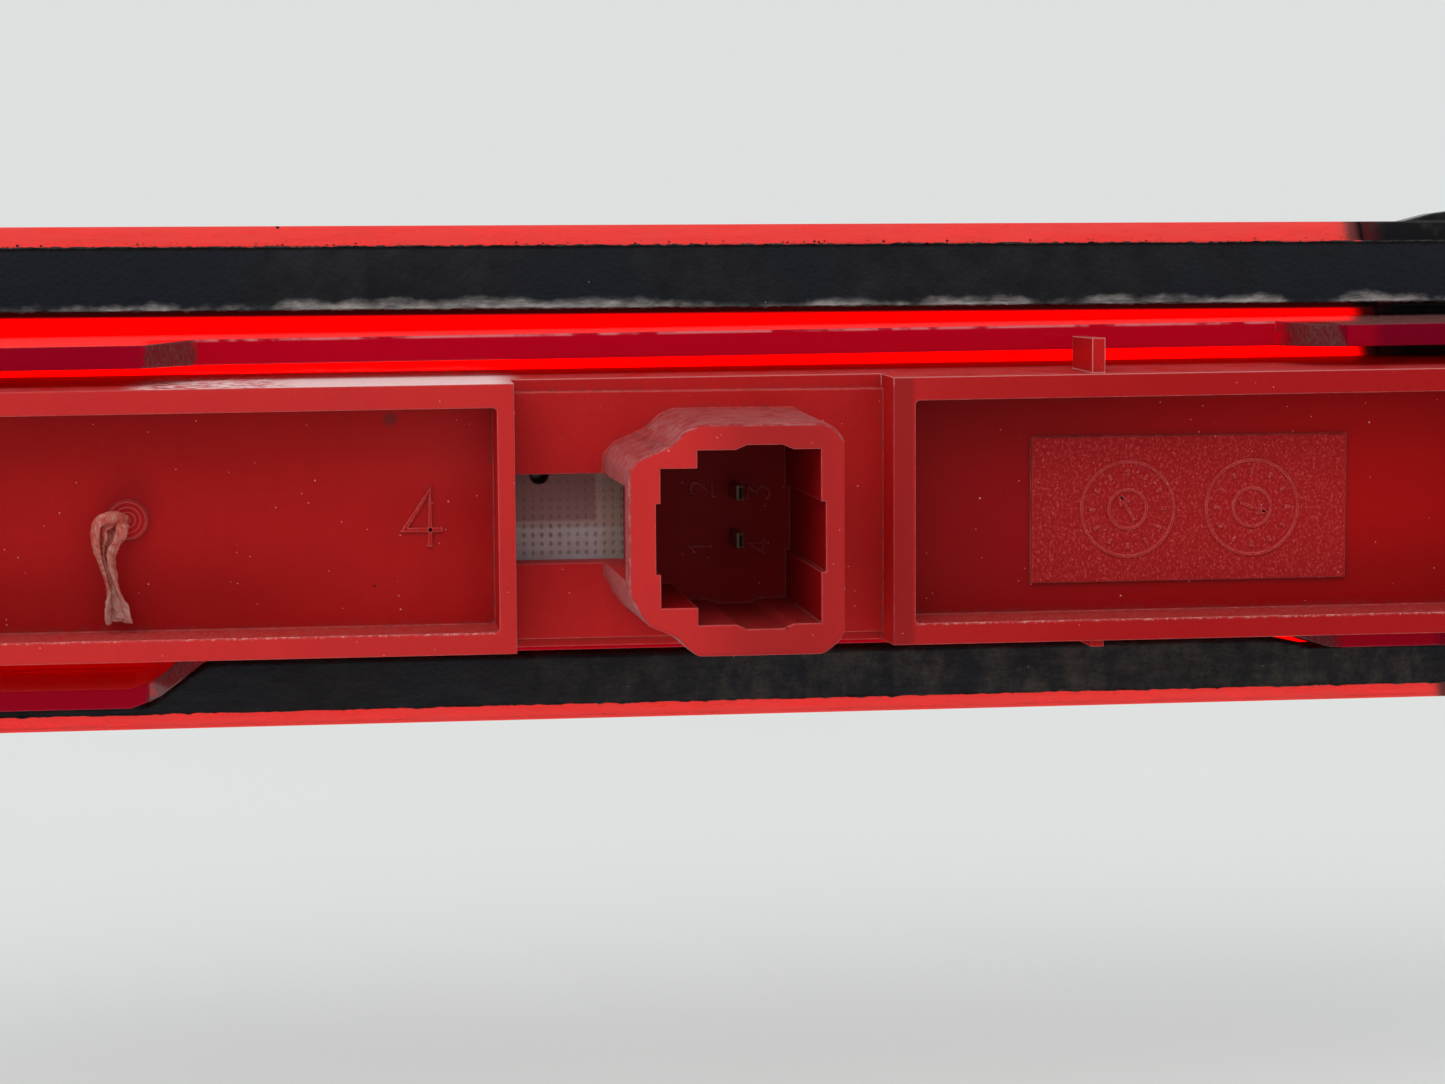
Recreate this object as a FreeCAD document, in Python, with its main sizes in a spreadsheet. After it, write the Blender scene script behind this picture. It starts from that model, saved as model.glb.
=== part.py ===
import FreeCAD, Part

import math
import os

import Sketcher
from FreeCAD import Placement, Rotation, Vector

# Third brake light for a car body, millimetres.
# X runs along the lamp, +Z is up, the lens looks along -Y and the wiring socket along +Y.
# The origin is midway between the two mounting studs, on the gasket's free face (Y = 0).

SIZES = {
    # lens and its black ends
    "seam_top": 49.2,             # half length of the red part along its top edge
    "seam_low": 57.0,             # and along its bottom edge: the seams lean outwards
    "flange_half": 17.5,          # half height of the flange
    "flange_back": -3.0,
    "plate_inside": -4.6,         # inside face of the lens plate
    "plate_front": -9.0,          # raw front, cut back to the front curve
    "crown_front": -7.5,
    "crown_radius": 80.0,
    "end_shoulder": 74.0,         # where the ends start to taper
    "end_tip": 98.0,
    "end_tip_half": 10.5,
    "brow_back": -3.6,            # the black ends stand a little proud above the flange
    "brow_start": 52.6,
    "brow_bend": 54.8,
    "brow_full": 57.5,
    "brow_rise": 0.9,
    "brow_tip": 1.2,
    "end_hollow_top": 11.4,
    "end_hollow_start": 63.8,
    "end_hollow_tip": 90.0,
    "end_hollow_tip_half": 6.5,
    "rib_back": -3.1,
    "rib_width": 1.2,
    # wall that stands on the back of the lens, round the housing
    "wall_half": 62.0,
    "wall_high": 8.0,
    "wall_low": 3.0,
    "wall_draft": 2.5,
    "wall_top_left": 9.4,
    "wall_top_right": 10.4,
    "wall_bottom": -11.55,
    "wall_bottom_left": -14.4,
    "wall_bottom_right": -12.2,
    "wall_thick": 1.3,
    "wall_thick_top": 1.5,
    "wall_step_left": 34.2,       # along the wall, where its rim rises from low to high
    "wall_step_left_high": 37.6,
    "wall_step_right": -40.9,
    "wall_step_right_high": -44.5,
    "bulge_foot": 33.8,           # along the bottom wall, where it bends outwards on the left
    "bulge_bend": 36.9,
    "bulge_full": 38.8,
    # pillow optics on the inside of the plate
    "pillow_pitch": 5.0,
    "pillow_count": 18,
    "pillow_rise": 0.55,
    "pillow_span": 12.6,
    # gasket
    "gasket_thick": 2.8,
    "adhesive_thick": 0.2,
    "gasket_edge": 1.35,          # flange left bare outside the gasket
    "gasket_top_inside": 11.65,
    "gasket_bottom_inside": -12.5,
    "gasket_left_inside": -15.35,
    "gasket_right_inside": -13.2,
    # housing
    "housing_back": 11.0,
    "housing_half": 58.0,
    "housing_top": 7.02,          # at the middle
    "housing_fall": 0.33,         # its top line falls this much to the left end and rises as much to the right
    "housing_bottom": -10.95,
    "housing_draft": 1.5,
    "housing_lip_front": 8.8,
    "housing_lip_front_middle": 5.8,
    "housing_keel": -9.95,
    "recess_right": -12.0,
    "recess_left": 13.36,
    "recess_floor": 7.25,
    "ledge_floor": 6.6,
    "ledge_top": 6.2,
    "ledge_bottom": -10.45,
    "pocket_floor": 6.0,
    "pocket_top": 5.45,
    "pocket_bottom": -9.5,
    "pocket_end": 56.6,
    "left_rib": 1.14,
    "right_rib": 1.5,
    "chamber_roof": 4.5,
    "chamber_half": 56.4,
    "chamber_top": 5.5,
    "chamber_bottom": -8.5,
    "window_right": 5.6,
    "window_back": 19.5,          # it is cut into the shroud's left wall up to here
    "window_left": 13.2,
    "window_top": 0.7,
    "window_bottom": -5.35,
    "stake_across": 50.5,
    "stake_up": 5.2,
    "stake_radius": 1.0,
    "stake_head_radius": 1.6,
    "stake_head_thick": 0.7,
    "plate_right": -45.1,
    "plate_left": -22.6,
    "plate_top": 2.65,
    "plate_bottom": -7.45,
    "plate_rise": 0.3,
    "tab_right": -26.8,
    "tab_left": -25.9,
    "tab_rise": 2.55,
    "tab_front": 4.4,
    "tab_back": 9.9,
    "gate_across": 38.85,
    "gate_up": -2.0,
    # wiring socket
    "socket_back": 21.5,
    "socket_floor": 6.5,
    "socket_half": 6.9,
    "socket_top": 4.7,
    "socket_bottom": -10.05,
    "socket_draft": 1.2,
    "cavity_right": -5.36,
    "cavity_left": 4.9,
    "cavity_top": 3.04,
    "cavity_bottom": -8.06,
    "key_across": 2.35,
    "key_up": 1.13,
    "slot_deep": 0.3,
    # terminals
    "pin_across": -1.7,
    "pin_upper": -0.54,
    "pin_lower": -3.75,
    "pin_wide": 0.5,
    "pin_high": 1.0,
    "pin_back": 10.5,
    "pin_front": 2.1,
    # board and what is on it
    "board_back": 4.0,
    "board_thick": 1.2,
    "board_half": 55.8,
    "board_top": 5.2,
    "board_bottom": -8.2,
    "led_count": 10,
    "led_pitch": 10.0,
    "led_up": -1.5,
    "led_wide": 3.5,
    "led_high": 2.8,
    "led_deep": 1.9,
    "led_cup_radius": 1.15,
    "led_cup_deep": 0.9,
    "reflector_front": -3.6,
    "reflector_back": 2.0,
    "reflector_half": 49.6,
    "reflector_top": 5.0,
    "reflector_bottom": -8.0,
    "cup_mouth": 4.8,
    "cup_throat": 2.6,
    "chip_long": 3.2,
    "chip_wide": 1.6,
    "chip_deep": 0.55,
    "chip_up": 3.7,
    # studs
    "stud_across": 80.0,
    "stud_radius": 2.5,
    "stud_long": 14.0,
    "stud_root": 2.1,
    "stud_root_long": 4.0,
    "stud_hex": 8.0,              # across flats
    "stud_hex_thick": 1.5,
    "stud_boss": 5.6,
}

doc = FreeCAD.newDocument("third_brake_light")
sheet = doc.addObject("Spreadsheet::Sheet", "sizes")
for row, (alias, value) in enumerate(SIZES.items(), start=1):
    sheet.set(f"A{row}", alias)
    sheet.set(f"B{row}", str(value))
    sheet.setAlias(f"B{row}", alias)
doc.recompute()

FINISHED = []


def named(text):
    """An expression in which every alias is looked up in the sheet."""
    words = []
    for word in text.replace("(", " ( ").replace(")", " ) ").split():
        words.append("sizes." + word if word in SIZES else word)
    return " ".join(words)


def measure(text):
    return float(sheet.evalExpression(named(text)))


def bind(thing, **sizes):
    for name, text in sizes.items():
        thing.setExpression(name, named(str(text)))


def finish(thing, label):
    thing.Label = label
    FINISHED.append(thing)
    return thing


# ---- sketches ---------------------------------------------------------------

def blank_sketch(body, name, role, offset):
    """An empty sketch on one of the body's origin planes, moved by offset along its normal."""
    sketch = body.newObject("Sketcher::SketchObject", name)
    plane = next(p for p in body.Origin.OriginFeatures if p.Role == role)
    sketch.AttachmentSupport = (plane, "")
    sketch.MapMode = "FlatFace"
    sketch.setExpression("AttachmentOffset.Base.z", named(offset))
    return sketch


def pin_point(sketch, edge, end, point):
    """Ties one end of an edge to the origin with two driving sizes."""
    for kind, text in zip(("DistanceX", "DistanceY"), point):
        index = sketch.addConstraint(Sketcher.Constraint(kind, -1, 1, edge, end, measure(text)))
        sketch.setExpression(f"Constraints[{index}]", named(text))


def add_outline(sketch, points):
    """A closed outline of straight lines through points, each a pair of expressions."""
    first = sketch.GeometryCount
    places = [Vector(measure(x), measure(y), 0) for x, y in points]
    count = len(points)
    for i in range(count):
        sketch.addGeometry(Part.LineSegment(places[i], places[(i + 1) % count]))
    for i in range(count):
        after = first + (i + 1) % count
        sketch.addConstraint(Sketcher.Constraint("Coincident", first + i, 2, after, 1))
        pin_point(sketch, first + i, 1, points[i])


def add_circle(sketch, centre, radius):
    place = Vector(measure(centre[0]), measure(centre[1]), 0)
    edge = sketch.addGeometry(Part.Circle(place, Vector(0, 0, 1), measure(radius)))
    pin_point(sketch, edge, 3, centre)
    index = sketch.addConstraint(Sketcher.Constraint("Radius", edge, measure(radius)))
    sketch.setExpression(f"Constraints[{index}]", named(radius))


def box_points(left, right, bottom, top):
    return [(left, bottom), (right, bottom), (right, top), (left, top)]


def back_sketch(body, name, level, *outlines):
    """Outlines drawn in X and Z on a plane at Y = level, whose normal looks along -Y."""
    sketch = blank_sketch(body, name, "XZ_Plane", f"-1 * ( {level} )")
    for outline in outlines:
        add_outline(sketch, outline)
    return sketch


# ---- features ---------------------------------------------------------------

def volume(body):
    return body.Shape.Volume if body.Tip else 0.0


def pad(body, sketch, depth, draft=None):
    """Adds material from the sketch towards -Y, spreading by the draft."""
    feature = body.newObject("PartDesign::Pad", sketch.Name + "_pad")
    feature.Profile = sketch
    bind(feature, Length=depth)
    if draft:
        bind(feature, TaperAngle=draft)
    doc.recompute()
    return feature


def pocket(body, sketch, depth, forward=True, draft=None):
    """Cuts from the sketch towards -Y, or towards +Y where forward is False."""
    before = volume(body)
    feature = body.newObject("PartDesign::Pocket", sketch.Name + "_cut")
    feature.Profile = sketch
    feature.Reversed = forward
    bind(feature, Length=depth)
    if draft:
        bind(feature, TaperAngle=draft)
    doc.recompute()
    if feature.Shape.isNull() or volume(body) >= before - 1e-6:
        raise RuntimeError(f"{feature.Name} cuts nothing")
    return feature


def through(body, sketch, length):
    """Cuts both ways from the sketch."""
    before = volume(body)
    feature = body.newObject("PartDesign::Pocket", sketch.Name + "_cut")
    feature.Profile = sketch
    feature.SideType = "Symmetric"
    bind(feature, Length=length)
    doc.recompute()
    if volume(body) >= before - 1e-6:
        raise RuntimeError(f"{feature.Name} cuts nothing")
    return feature


def round_uprights(body, feature, name, radius, wanted):
    """Rounds the edges of a feature that run along Y and whose middle passes the test."""
    edges = []
    for number, edge in enumerate(feature.Shape.Edges, start=1):
        ends = [vertex.Point for vertex in edge.Vertexes]
        if len(ends) != 2:
            continue
        run = ends[1] - ends[0]
        middle = (ends[0] + ends[1]) / 2
        straight = edge.Length < run.Length + 1e-4
        if straight and run.Length > 0.1 and abs(run.y) > 0.9 * run.Length and wanted(middle):
            edges.append(f"Edge{number}")
    if not edges:
        raise RuntimeError(f"{name} found no edge")
    fillet = body.newObject("PartDesign::Fillet", name)
    fillet.Base = (feature, edges)
    bind(fillet, Radius=radius)
    doc.recompute()
    return fillet


def round_rim(body, feature, name, radius, level):
    """Rounds the edges of a feature that lie in the plane Y = level."""
    edges = []
    for number, edge in enumerate(feature.Shape.Edges, start=1):
        if max(abs(vertex.Y - level) for vertex in edge.Vertexes) < 1e-4:
            edges.append(f"Edge{number}")
    fillet = body.newObject("PartDesign::Fillet", name)
    fillet.Base = (feature, edges)
    bind(fillet, Radius=radius)
    doc.recompute()
    return fillet


def new_body(name):
    return doc.addObject("PartDesign::Body", name)


def cut_front_curve(body):
    """Cuts the front to one long curve that is the same along the whole lamp."""
    sketch = blank_sketch(body, body.Name + "_front", "YZ_Plane", "0")
    crown, radius = measure("crown_front"), measure("crown_radius")
    reach, ahead = 22.0, -16.0
    edge = crown + radius - math.sqrt(radius**2 - reach**2)
    arc = Part.Arc(Vector(edge, reach, 0), Vector(crown, 0, 0), Vector(edge, -reach, 0))
    curve = sketch.addGeometry(arc)
    corners = [Vector(edge, -reach, 0), Vector(ahead, -reach, 0), Vector(ahead, reach, 0), Vector(edge, reach, 0)]
    lines = [sketch.addGeometry(Part.LineSegment(a, b)) for a, b in zip(corners, corners[1:])]
    pin_point(sketch, curve, 3, ("crown_front + crown_radius", "0"))
    index = sketch.addConstraint(Sketcher.Constraint("Radius", curve, radius))
    sketch.setExpression(f"Constraints[{index}]", named("crown_radius"))
    for low, high in zip(lines, lines[1:]):
        sketch.addConstraint(Sketcher.Constraint("Coincident", low, 2, high, 1))
    arc_ends = {round(sketch.getPoint(curve, end).y): end for end in (1, 2)}
    sketch.addConstraint(Sketcher.Constraint("Coincident", curve, arc_ends[-22], lines[0], 1))
    sketch.addConstraint(Sketcher.Constraint("Coincident", curve, arc_ends[22], lines[2], 2))
    for line, end, x, y in ((0, 2, ahead, -reach), (1, 2, ahead, reach)):
        sketch.addConstraint(Sketcher.Constraint("DistanceX", -1, 1, lines[line], end, x))
        sketch.addConstraint(Sketcher.Constraint("DistanceY", -1, 1, lines[line], end, y))
    for line, end, y in ((0, 1, -reach), (2, 2, reach)):
        sketch.addConstraint(Sketcher.Constraint("DistanceY", -1, 1, lines[line], end, y))
    return through(body, sketch, "4 * end_tip")


# ---- lens -------------------------------------------------------------------

def wall_outline(inset, inset_top):
    """The wall's outline at its highest level. It stands wider below, on the left more than on the right."""
    left, right = f"wall_half - {inset}", f"-1 * wall_half + {inset}"
    top_left, top_right = f"wall_top_left - {inset_top}", f"wall_top_right - {inset_top}"
    low = f"wall_bottom + {inset}"
    low_left, low_right = f"wall_bottom_left + {inset}", f"wall_bottom_right + {inset}"
    return [
        (right, top_right),
        (right, low_right),
        ("wall_step_right_high + 0.8", low_right),
        ("wall_step_right - 0.9", low),
        ("bulge_foot", low),
        ("bulge_bend", f"{low_left} + 0.7"),
        ("bulge_full", low_left),
        (left, low_left),
        (left, top_left),
    ]


def make_lens():
    body = new_body("lens")
    plate = back_sketch(body, "lens_plate", "flange_back", [
        ("-1 * seam_top", "flange_half"), ("seam_top", "flange_half"),
        ("seam_low", "-1 * flange_half"), ("-1 * seam_low", "-1 * flange_half"),
    ])
    pad(body, plate, "flange_back - plate_front")
    wall = back_sketch(body, "lens_wall", "wall_high", wall_outline("0", "0"))
    pad(body, wall, "wall_high - plate_inside", "wall_draft")
    inside = back_sketch(body, "lens_inside", "wall_high", wall_outline("wall_thick", "wall_thick_top"))
    pocket(body, inside, "wall_high - plate_inside")
    middle = blank_sketch(body, "lens_wall_middle", "XY_Plane", "0")
    add_outline(middle, [
        ("wall_step_right", "wall_low"), ("wall_step_left", "wall_low"),
        ("wall_step_left_high", "wall_high"), ("wall_step_left_high", "wall_high + 1"),
        ("wall_step_right_high", "wall_high + 1"), ("wall_step_right_high", "wall_high"),
        ("wall_step_right - 1.3", "wall_high - 1.4"),
    ])
    through(body, middle, "4 * flange_half")
    cut_front_curve(body)
    add_pillows(body)
    return finish(body, "lens")


def add_pillows(body):
    """A row of upright half-round pillows inside the plate spreads the light sideways."""
    base = body.Tip
    sketch = blank_sketch(body, "lens_pillow", "XY_Plane", "led_up")
    foot, rise = measure("plate_inside") - 0.1, measure("pillow_rise")
    half = measure("pillow_pitch") / 2
    start = -measure("pillow_count") * half + half
    ends = [Vector(start - half, foot, 0), Vector(start + half, foot, 0)]
    top = Vector(start, foot + 0.1 + rise, 0)
    sketch.addGeometry(Part.Arc(ends[1], top, ends[0]))
    sketch.addGeometry(Part.LineSegment(ends[0], ends[1]))
    sketch.addConstraint(Sketcher.Constraint("Coincident", 0, 2, 1, 1))
    sketch.addConstraint(Sketcher.Constraint("Coincident", 0, 1, 1, 2))
    pin_point(sketch, 1, 1, ("-0.5 * pillow_count * pillow_pitch", "plate_inside - 0.1"))
    pin_point(sketch, 1, 2, ("( 1 - 0.5 * pillow_count ) * pillow_pitch", "plate_inside - 0.1"))
    radius = ((rise + 0.1) ** 2 + half**2) / (2 * (rise + 0.1))
    sketch.addConstraint(Sketcher.Constraint("Radius", 0, radius))
    feature = body.newObject("PartDesign::Pad", "lens_pillow_pad")
    feature.Profile = sketch
    feature.SideType = "Symmetric"
    bind(feature, Length="pillow_span")
    doc.recompute()
    axis = next(a for a in body.Origin.OriginFeatures if a.Role == "X_Axis")
    row = body.newObject("PartDesign::LinearPattern", "lens_pillow_row")
    row.Originals = [feature]
    row.Direction = (axis, [""])
    bind(row, Length="( pillow_count - 1 ) * pillow_pitch", Occurrences="pillow_count")
    body.Tip = row
    doc.recompute()
    if row.Shape.Volume <= base.Shape.Volume:
        raise RuntimeError("the pillows added nothing")


# ---- black ends -------------------------------------------------------------

def make_end(label, side, wall_foot):
    """One black end of the lens. Its plate carries a stud boss and ribs in a shallow hollow."""
    def at(text):
        return f"{side} * ( {text} )"

    body = new_body(label)
    brow = back_sketch(body, label + "_brow", "brow_back", [
        (at("seam_top"), "flange_half"), (at("brow_start"), "flange_half"),
        (at("brow_bend"), "flange_half + 0.62 * brow_rise"),
        (at("brow_full"), "flange_half + brow_rise"), (at("end_shoulder"), "flange_half + brow_rise"),
        (at("end_tip + brow_tip"), "end_tip_half + brow_tip"),
        (at("end_tip + brow_tip"), "-1 * end_tip_half"),
        (at("end_shoulder"), "-1 * flange_half"), (at("seam_low"), "-1 * flange_half"),
    ])
    main = pad(body, brow, "brow_back - plate_front")
    tip = measure("end_tip")
    round_uprights(body, main, label + "_tip_round", "6", lambda p: abs(p.x) > tip)
    flange = back_sketch(body, label + "_flange", "flange_back", [
        (at("seam_top"), "flange_half"), (at("end_shoulder"), "flange_half"),
        (at("end_tip"), "end_tip_half"), (at("end_tip"), "-1 * end_tip_half"),
        (at("end_shoulder"), "-1 * flange_half"), (at("seam_low"), "-1 * flange_half"),
    ])
    rim = pad(body, flange, "flange_back - plate_inside")
    rim = round_uprights(body, rim, label + "_rim_round", "5.4", lambda p: p.y > -3.7 and tip - 1 < abs(p.x) < tip + 1)
    cut_front_curve(body)
    hollow = back_sketch(body, label + "_hollow", "flange_back", [
        (at("seam_top - 1"), "end_hollow_top"), (at("end_shoulder"), "end_hollow_top"),
        (at("end_hollow_tip"), "end_hollow_tip_half"), (at("end_hollow_tip"), "-1 * end_hollow_tip_half"),
        (at("end_shoulder"), "-1 * end_hollow_top"), (at("end_hollow_start + 2"), "-1 * end_hollow_top"),
        (at("end_hollow_start"), wall_foot), (at("seam_top - 1"), wall_foot),
    ])
    pocket(body, hollow, "flange_back - plate_inside")
    for number, (left, right, low, high) in enumerate((
        ("end_hollow_start", "end_hollow_tip + 1", "-0.5 * rib_width", "0.5 * rib_width"),
        ("stud_across - 0.5 * rib_width", "stud_across + 0.5 * rib_width", "-11.2", "11.2"),
        ("end_hollow_start + 1.4", "end_hollow_start + 1.4 + rib_width", "-12", "12"),
    )):
        rib = back_sketch(body, f"{label}_rib_{number}", "rib_back", box_points(at(left), at(right), low, high))
        pad(body, rib, "rib_back - plate_inside + 0.2")
    boss = blank_sketch(body, label + "_boss", "XZ_Plane", "stud_hex_thick")
    add_circle(boss, (at("stud_across"), "0"), "stud_boss")
    pad(body, boss, "-1 * plate_inside - stud_hex_thick + 0.4")
    bore = blank_sketch(body, label + "_bore", "XZ_Plane", "stud_hex_thick")
    add_circle(bore, (at("stud_across"), "0"), "stud_root")
    pocket(body, bore, "stud_root_long")
    return finish(body, label)


def make_stud(label, side):
    """A hanger stud: a root in the boss, a hexagonal collar that stops on the body, and the free end."""
    pieces = []
    upright = Rotation(Vector(1, 0, 0), -90)
    x = side * measure("stud_across")
    collar_front = -measure("stud_hex_thick")
    for name, radius, length, start in (
        ("root", "stud_root", "stud_root_long", collar_front - measure("stud_root_long")),
        ("shank", "stud_radius", "stud_long - 0.8", 0),
    ):
        rod = doc.addObject("Part::Cylinder", f"{label}_{name}")
        bind(rod, Radius=radius, Height=length)
        rod.Placement = Placement(Vector(x, start, 0), upright)
        pieces.append(rod)
    collar = doc.addObject("Part::Prism", label + "_collar")
    collar.Polygon = 6
    bind(collar, Circumradius="stud_hex / 3 ^ 0.5", Height="stud_hex_thick")
    collar.Placement = Placement(Vector(x, collar_front, 0), upright)
    point = doc.addObject("Part::Cone", label + "_point")
    bind(point, Radius1="stud_radius", Radius2="stud_radius - 0.7", Height="0.8")
    point.Placement = Placement(Vector(x, measure("stud_long") - 0.8, 0), upright)
    stud = doc.addObject("Part::MultiFuse", label)
    stud.Shapes = pieces + [collar, point]
    return finish(stud, label)


# ---- gasket -----------------------------------------------------------------

def gasket_outlines():
    shoulder, tip, tip_half = "end_shoulder", "end_tip", "end_tip_half"
    edge = "gasket_edge"
    outer = []
    inner_tip, inner_tip_half = "end_tip - 6.2", "6.9"
    for side in (1, -1):
        high = (f"{side} * ( {shoulder} - 0.35 )", f"flange_half - {edge}")
        high_tip = (f"{side} * ( {tip} - {edge} )", f"{tip_half} - 0.95")
        low_tip = (high_tip[0], f"-1 * {tip_half} + 0.95")
        low = (high[0], f"-1 * flange_half + {edge}")
        outer += [high, high_tip, low_tip, low] if side == 1 else [low, low_tip, high_tip, high]
    inner = [
        ("end_shoulder - 1", "gasket_top_inside"),
        (inner_tip, inner_tip_half), (inner_tip, f"-1 * {inner_tip_half}"),
        ("end_shoulder - 1", "-1 * gasket_top_inside"),
        ("end_hollow_start + 2.2", "-1 * gasket_top_inside"),
        ("end_hollow_start", "gasket_left_inside"),
        ("bulge_full - 0.75", "gasket_left_inside"),
        ("bulge_foot + 0.15", "gasket_bottom_inside"),
        ("wall_step_right - 0.8", "gasket_bottom_inside"),
        ("wall_step_right_high - 0.4", "gasket_right_inside"),
        ("-1 * end_hollow_start", "gasket_right_inside"),
        ("-1 * end_hollow_start - 1.6", "-1 * gasket_top_inside"),
        ("-1 * end_shoulder + 1", "-1 * gasket_top_inside"),
        (f"-1 * ( {inner_tip} )", f"-1 * {inner_tip_half}"), (f"-1 * ( {inner_tip} )", inner_tip_half),
        ("-1 * end_shoulder + 1", "gasket_top_inside"),
    ]
    return outer, inner


def make_gasket(label, level, thick):
    body = new_body(label)
    sketch = back_sketch(body, label + "_outline", level, *gasket_outlines())
    ring = pad(body, sketch, thick)
    tip = measure("end_tip")
    round_uprights(body, ring, label + "_round", "4", lambda p: abs(p.x) > tip - 2)
    return finish(body, label)


# ---- housing ----------------------------------------------------------------

def make_housing():
    body = new_body("rear_housing")
    block = back_sketch(body, "housing_block", "housing_back", [
        ("-1 * housing_half", "housing_bottom"), ("housing_half", "housing_bottom"),
        ("housing_half", "housing_top - housing_fall"), ("-1 * housing_half", "housing_top + housing_fall"),
    ])
    raw = pad(body, block, "housing_back - plate_inside", "housing_draft")
    round_uprights(body, raw, "housing_corners", "0.6", lambda p: True)
    middle = ("recess_right - 4", "recess_left + 4")
    for name, level, left, right in (
        ("housing_keel_right", "housing_lip_front", "-1 * housing_half - 3", middle[0]),
        ("housing_keel_middle", "housing_lip_front_middle", *middle),
        ("housing_keel_left", "housing_lip_front", middle[1], "housing_half + 3"),
    ):
        keel = back_sketch(body, name, level, box_points(left, right, "housing_keel - 4", "housing_keel"))
        pocket(body, keel, f"{level} - plate_inside")
    recess_and_pockets(body)
    add_socket(body)
    hollow_chamber(body)
    add_tabs_and_marks(body)
    return finish(body, "rear_housing")


def recess_and_pockets(body):
    recess = back_sketch(
        body, "housing_recess", "housing_back",
        box_points("recess_right", "recess_left", "housing_bottom - 3", "housing_top + 3"),
    )
    pocket(body, recess, "housing_back - recess_floor")
    for name, low, high in (
        ("housing_ledge_top", "ledge_top", "housing_top + 3"),
        ("housing_ledge_bottom", "housing_bottom - 3", "ledge_bottom"),
    ):
        ledge = back_sketch(body, name, "recess_floor", box_points("recess_right", "recess_left", low, high))
        pocket(body, ledge, "recess_floor - ledge_floor")
    for name, left, right in (
        ("housing_pocket_left", "recess_left + left_rib", "pocket_end"),
        ("housing_pocket_right", "-1 * pocket_end", "recess_right - right_rib"),
    ):
        slope = "housing_fall / housing_half"
        sketch = back_sketch(body, name, "housing_back", [
            (left, "pocket_bottom"), (right, "pocket_bottom"),
            (right, f"pocket_top - ( {right} ) * {slope}"), (left, f"pocket_top - ( {left} ) * {slope}"),
        ])
        cut = pocket(body, sketch, "housing_back - pocket_floor")
        ends = (measure(left), measure(right))
        round_uprights(
            body, cut, name + "_round", "0.3",
            lambda p: min(abs(p.x - x) for x in ends) < 0.01 and p.y > 7 and abs(p.z) < 9.8,
        )


def socket_outline():
    """The shroud: two corners stepped inwards on the left, two rounded ones on the right."""
    half, top, low = "socket_half", "socket_top", "socket_bottom"
    return [
        (half, f"{top} - 2.9"), (f"{half} - 0.55", f"{top} - 2.2"), (f"{half} - 1.4", f"{top} - 1.83"),
        (f"{half} - 2.8", f"{top} - 1.22"), (f"{half} - 3.67", f"{top} - 0.35"), (f"{half} - 4.54", top),
        (f"-1 * {half} + 1.24", top), (f"-1 * {half} + 0.55", f"{top} - 0.4"), (f"-1 * {half}", f"{top} - 1.15"),
        (f"-1 * {half}", f"{low} + 1.45"), (f"-1 * {half} + 0.45", f"{low} + 0.7"), (f"-1 * {half} + 1.4", low),
        (f"{half} - 4.37", low), (f"{half} - 3.67", f"{low} + 0.5"), (f"{half} - 2.98", f"{low} + 1.25"),
        (f"{half} - 1.23", f"{low} + 2.0"), (f"{half} - 0.54", f"{low} + 2.95"), (half, f"{low} + 4.05"),
    ]


def cavity_outline():
    """Two corner keys on the left and a shallow slot in each of the other walls."""
    left, right, top, low = "cavity_left", "cavity_right", "cavity_top", "cavity_bottom"
    slot = "slot_deep"
    return [
        (f"{left} - key_across", top), (f"{left} - key_across", f"{top} - key_up"), (left, f"{top} - key_up"),
        (left, "-0.3"), (f"{left} + {slot}", "-0.3"), (f"{left} + {slot}", "-4.8"), (left, "-4.8"),
        (left, f"{low} + key_up"), (f"{left} - key_across", f"{low} + key_up"), (f"{left} - key_across", low),
        ("0.1", low), ("-0.6", f"{low} - {slot}"), ("-2.9", f"{low} - {slot}"), ("-3.6", low),
        (right, low), (right, "-4.8"), (f"{right} - {slot}", "-4.8"), (f"{right} - {slot}", "-0.3"),
        (right, "-0.3"), (right, top),
        ("-3.6", top), ("-2.9", f"{top} + {slot}"), ("-0.6", f"{top} + {slot}"), ("0.1", top),
    ]


def pin_outline(height, grow="0"):
    wide, high = f"0.5 * pin_wide + {grow}", f"0.5 * pin_high + {grow}"
    return box_points(
        f"pin_across - ( {wide} )", f"pin_across + {wide}", f"{height} - ( {high} )", f"{height} + {high}",
    )


def add_socket(body):
    shroud = back_sketch(body, "socket_shroud", "socket_back", socket_outline())
    raised = pad(body, shroud, "socket_back - pocket_floor", "socket_draft")
    back, half = measure("socket_back"), measure("socket_half")
    rounded = round_uprights(
        body, raised, "socket_corners", "0.9", lambda p: p.y > (back + 7) / 2 and abs(p.x) < half + 0.6,
    )
    round_rim(body, rounded, "socket_rim", "0.25", back)
    cavity = back_sketch(body, "socket_cavity", "socket_back", cavity_outline())
    pocket(body, cavity, "socket_back - socket_floor")


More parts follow.
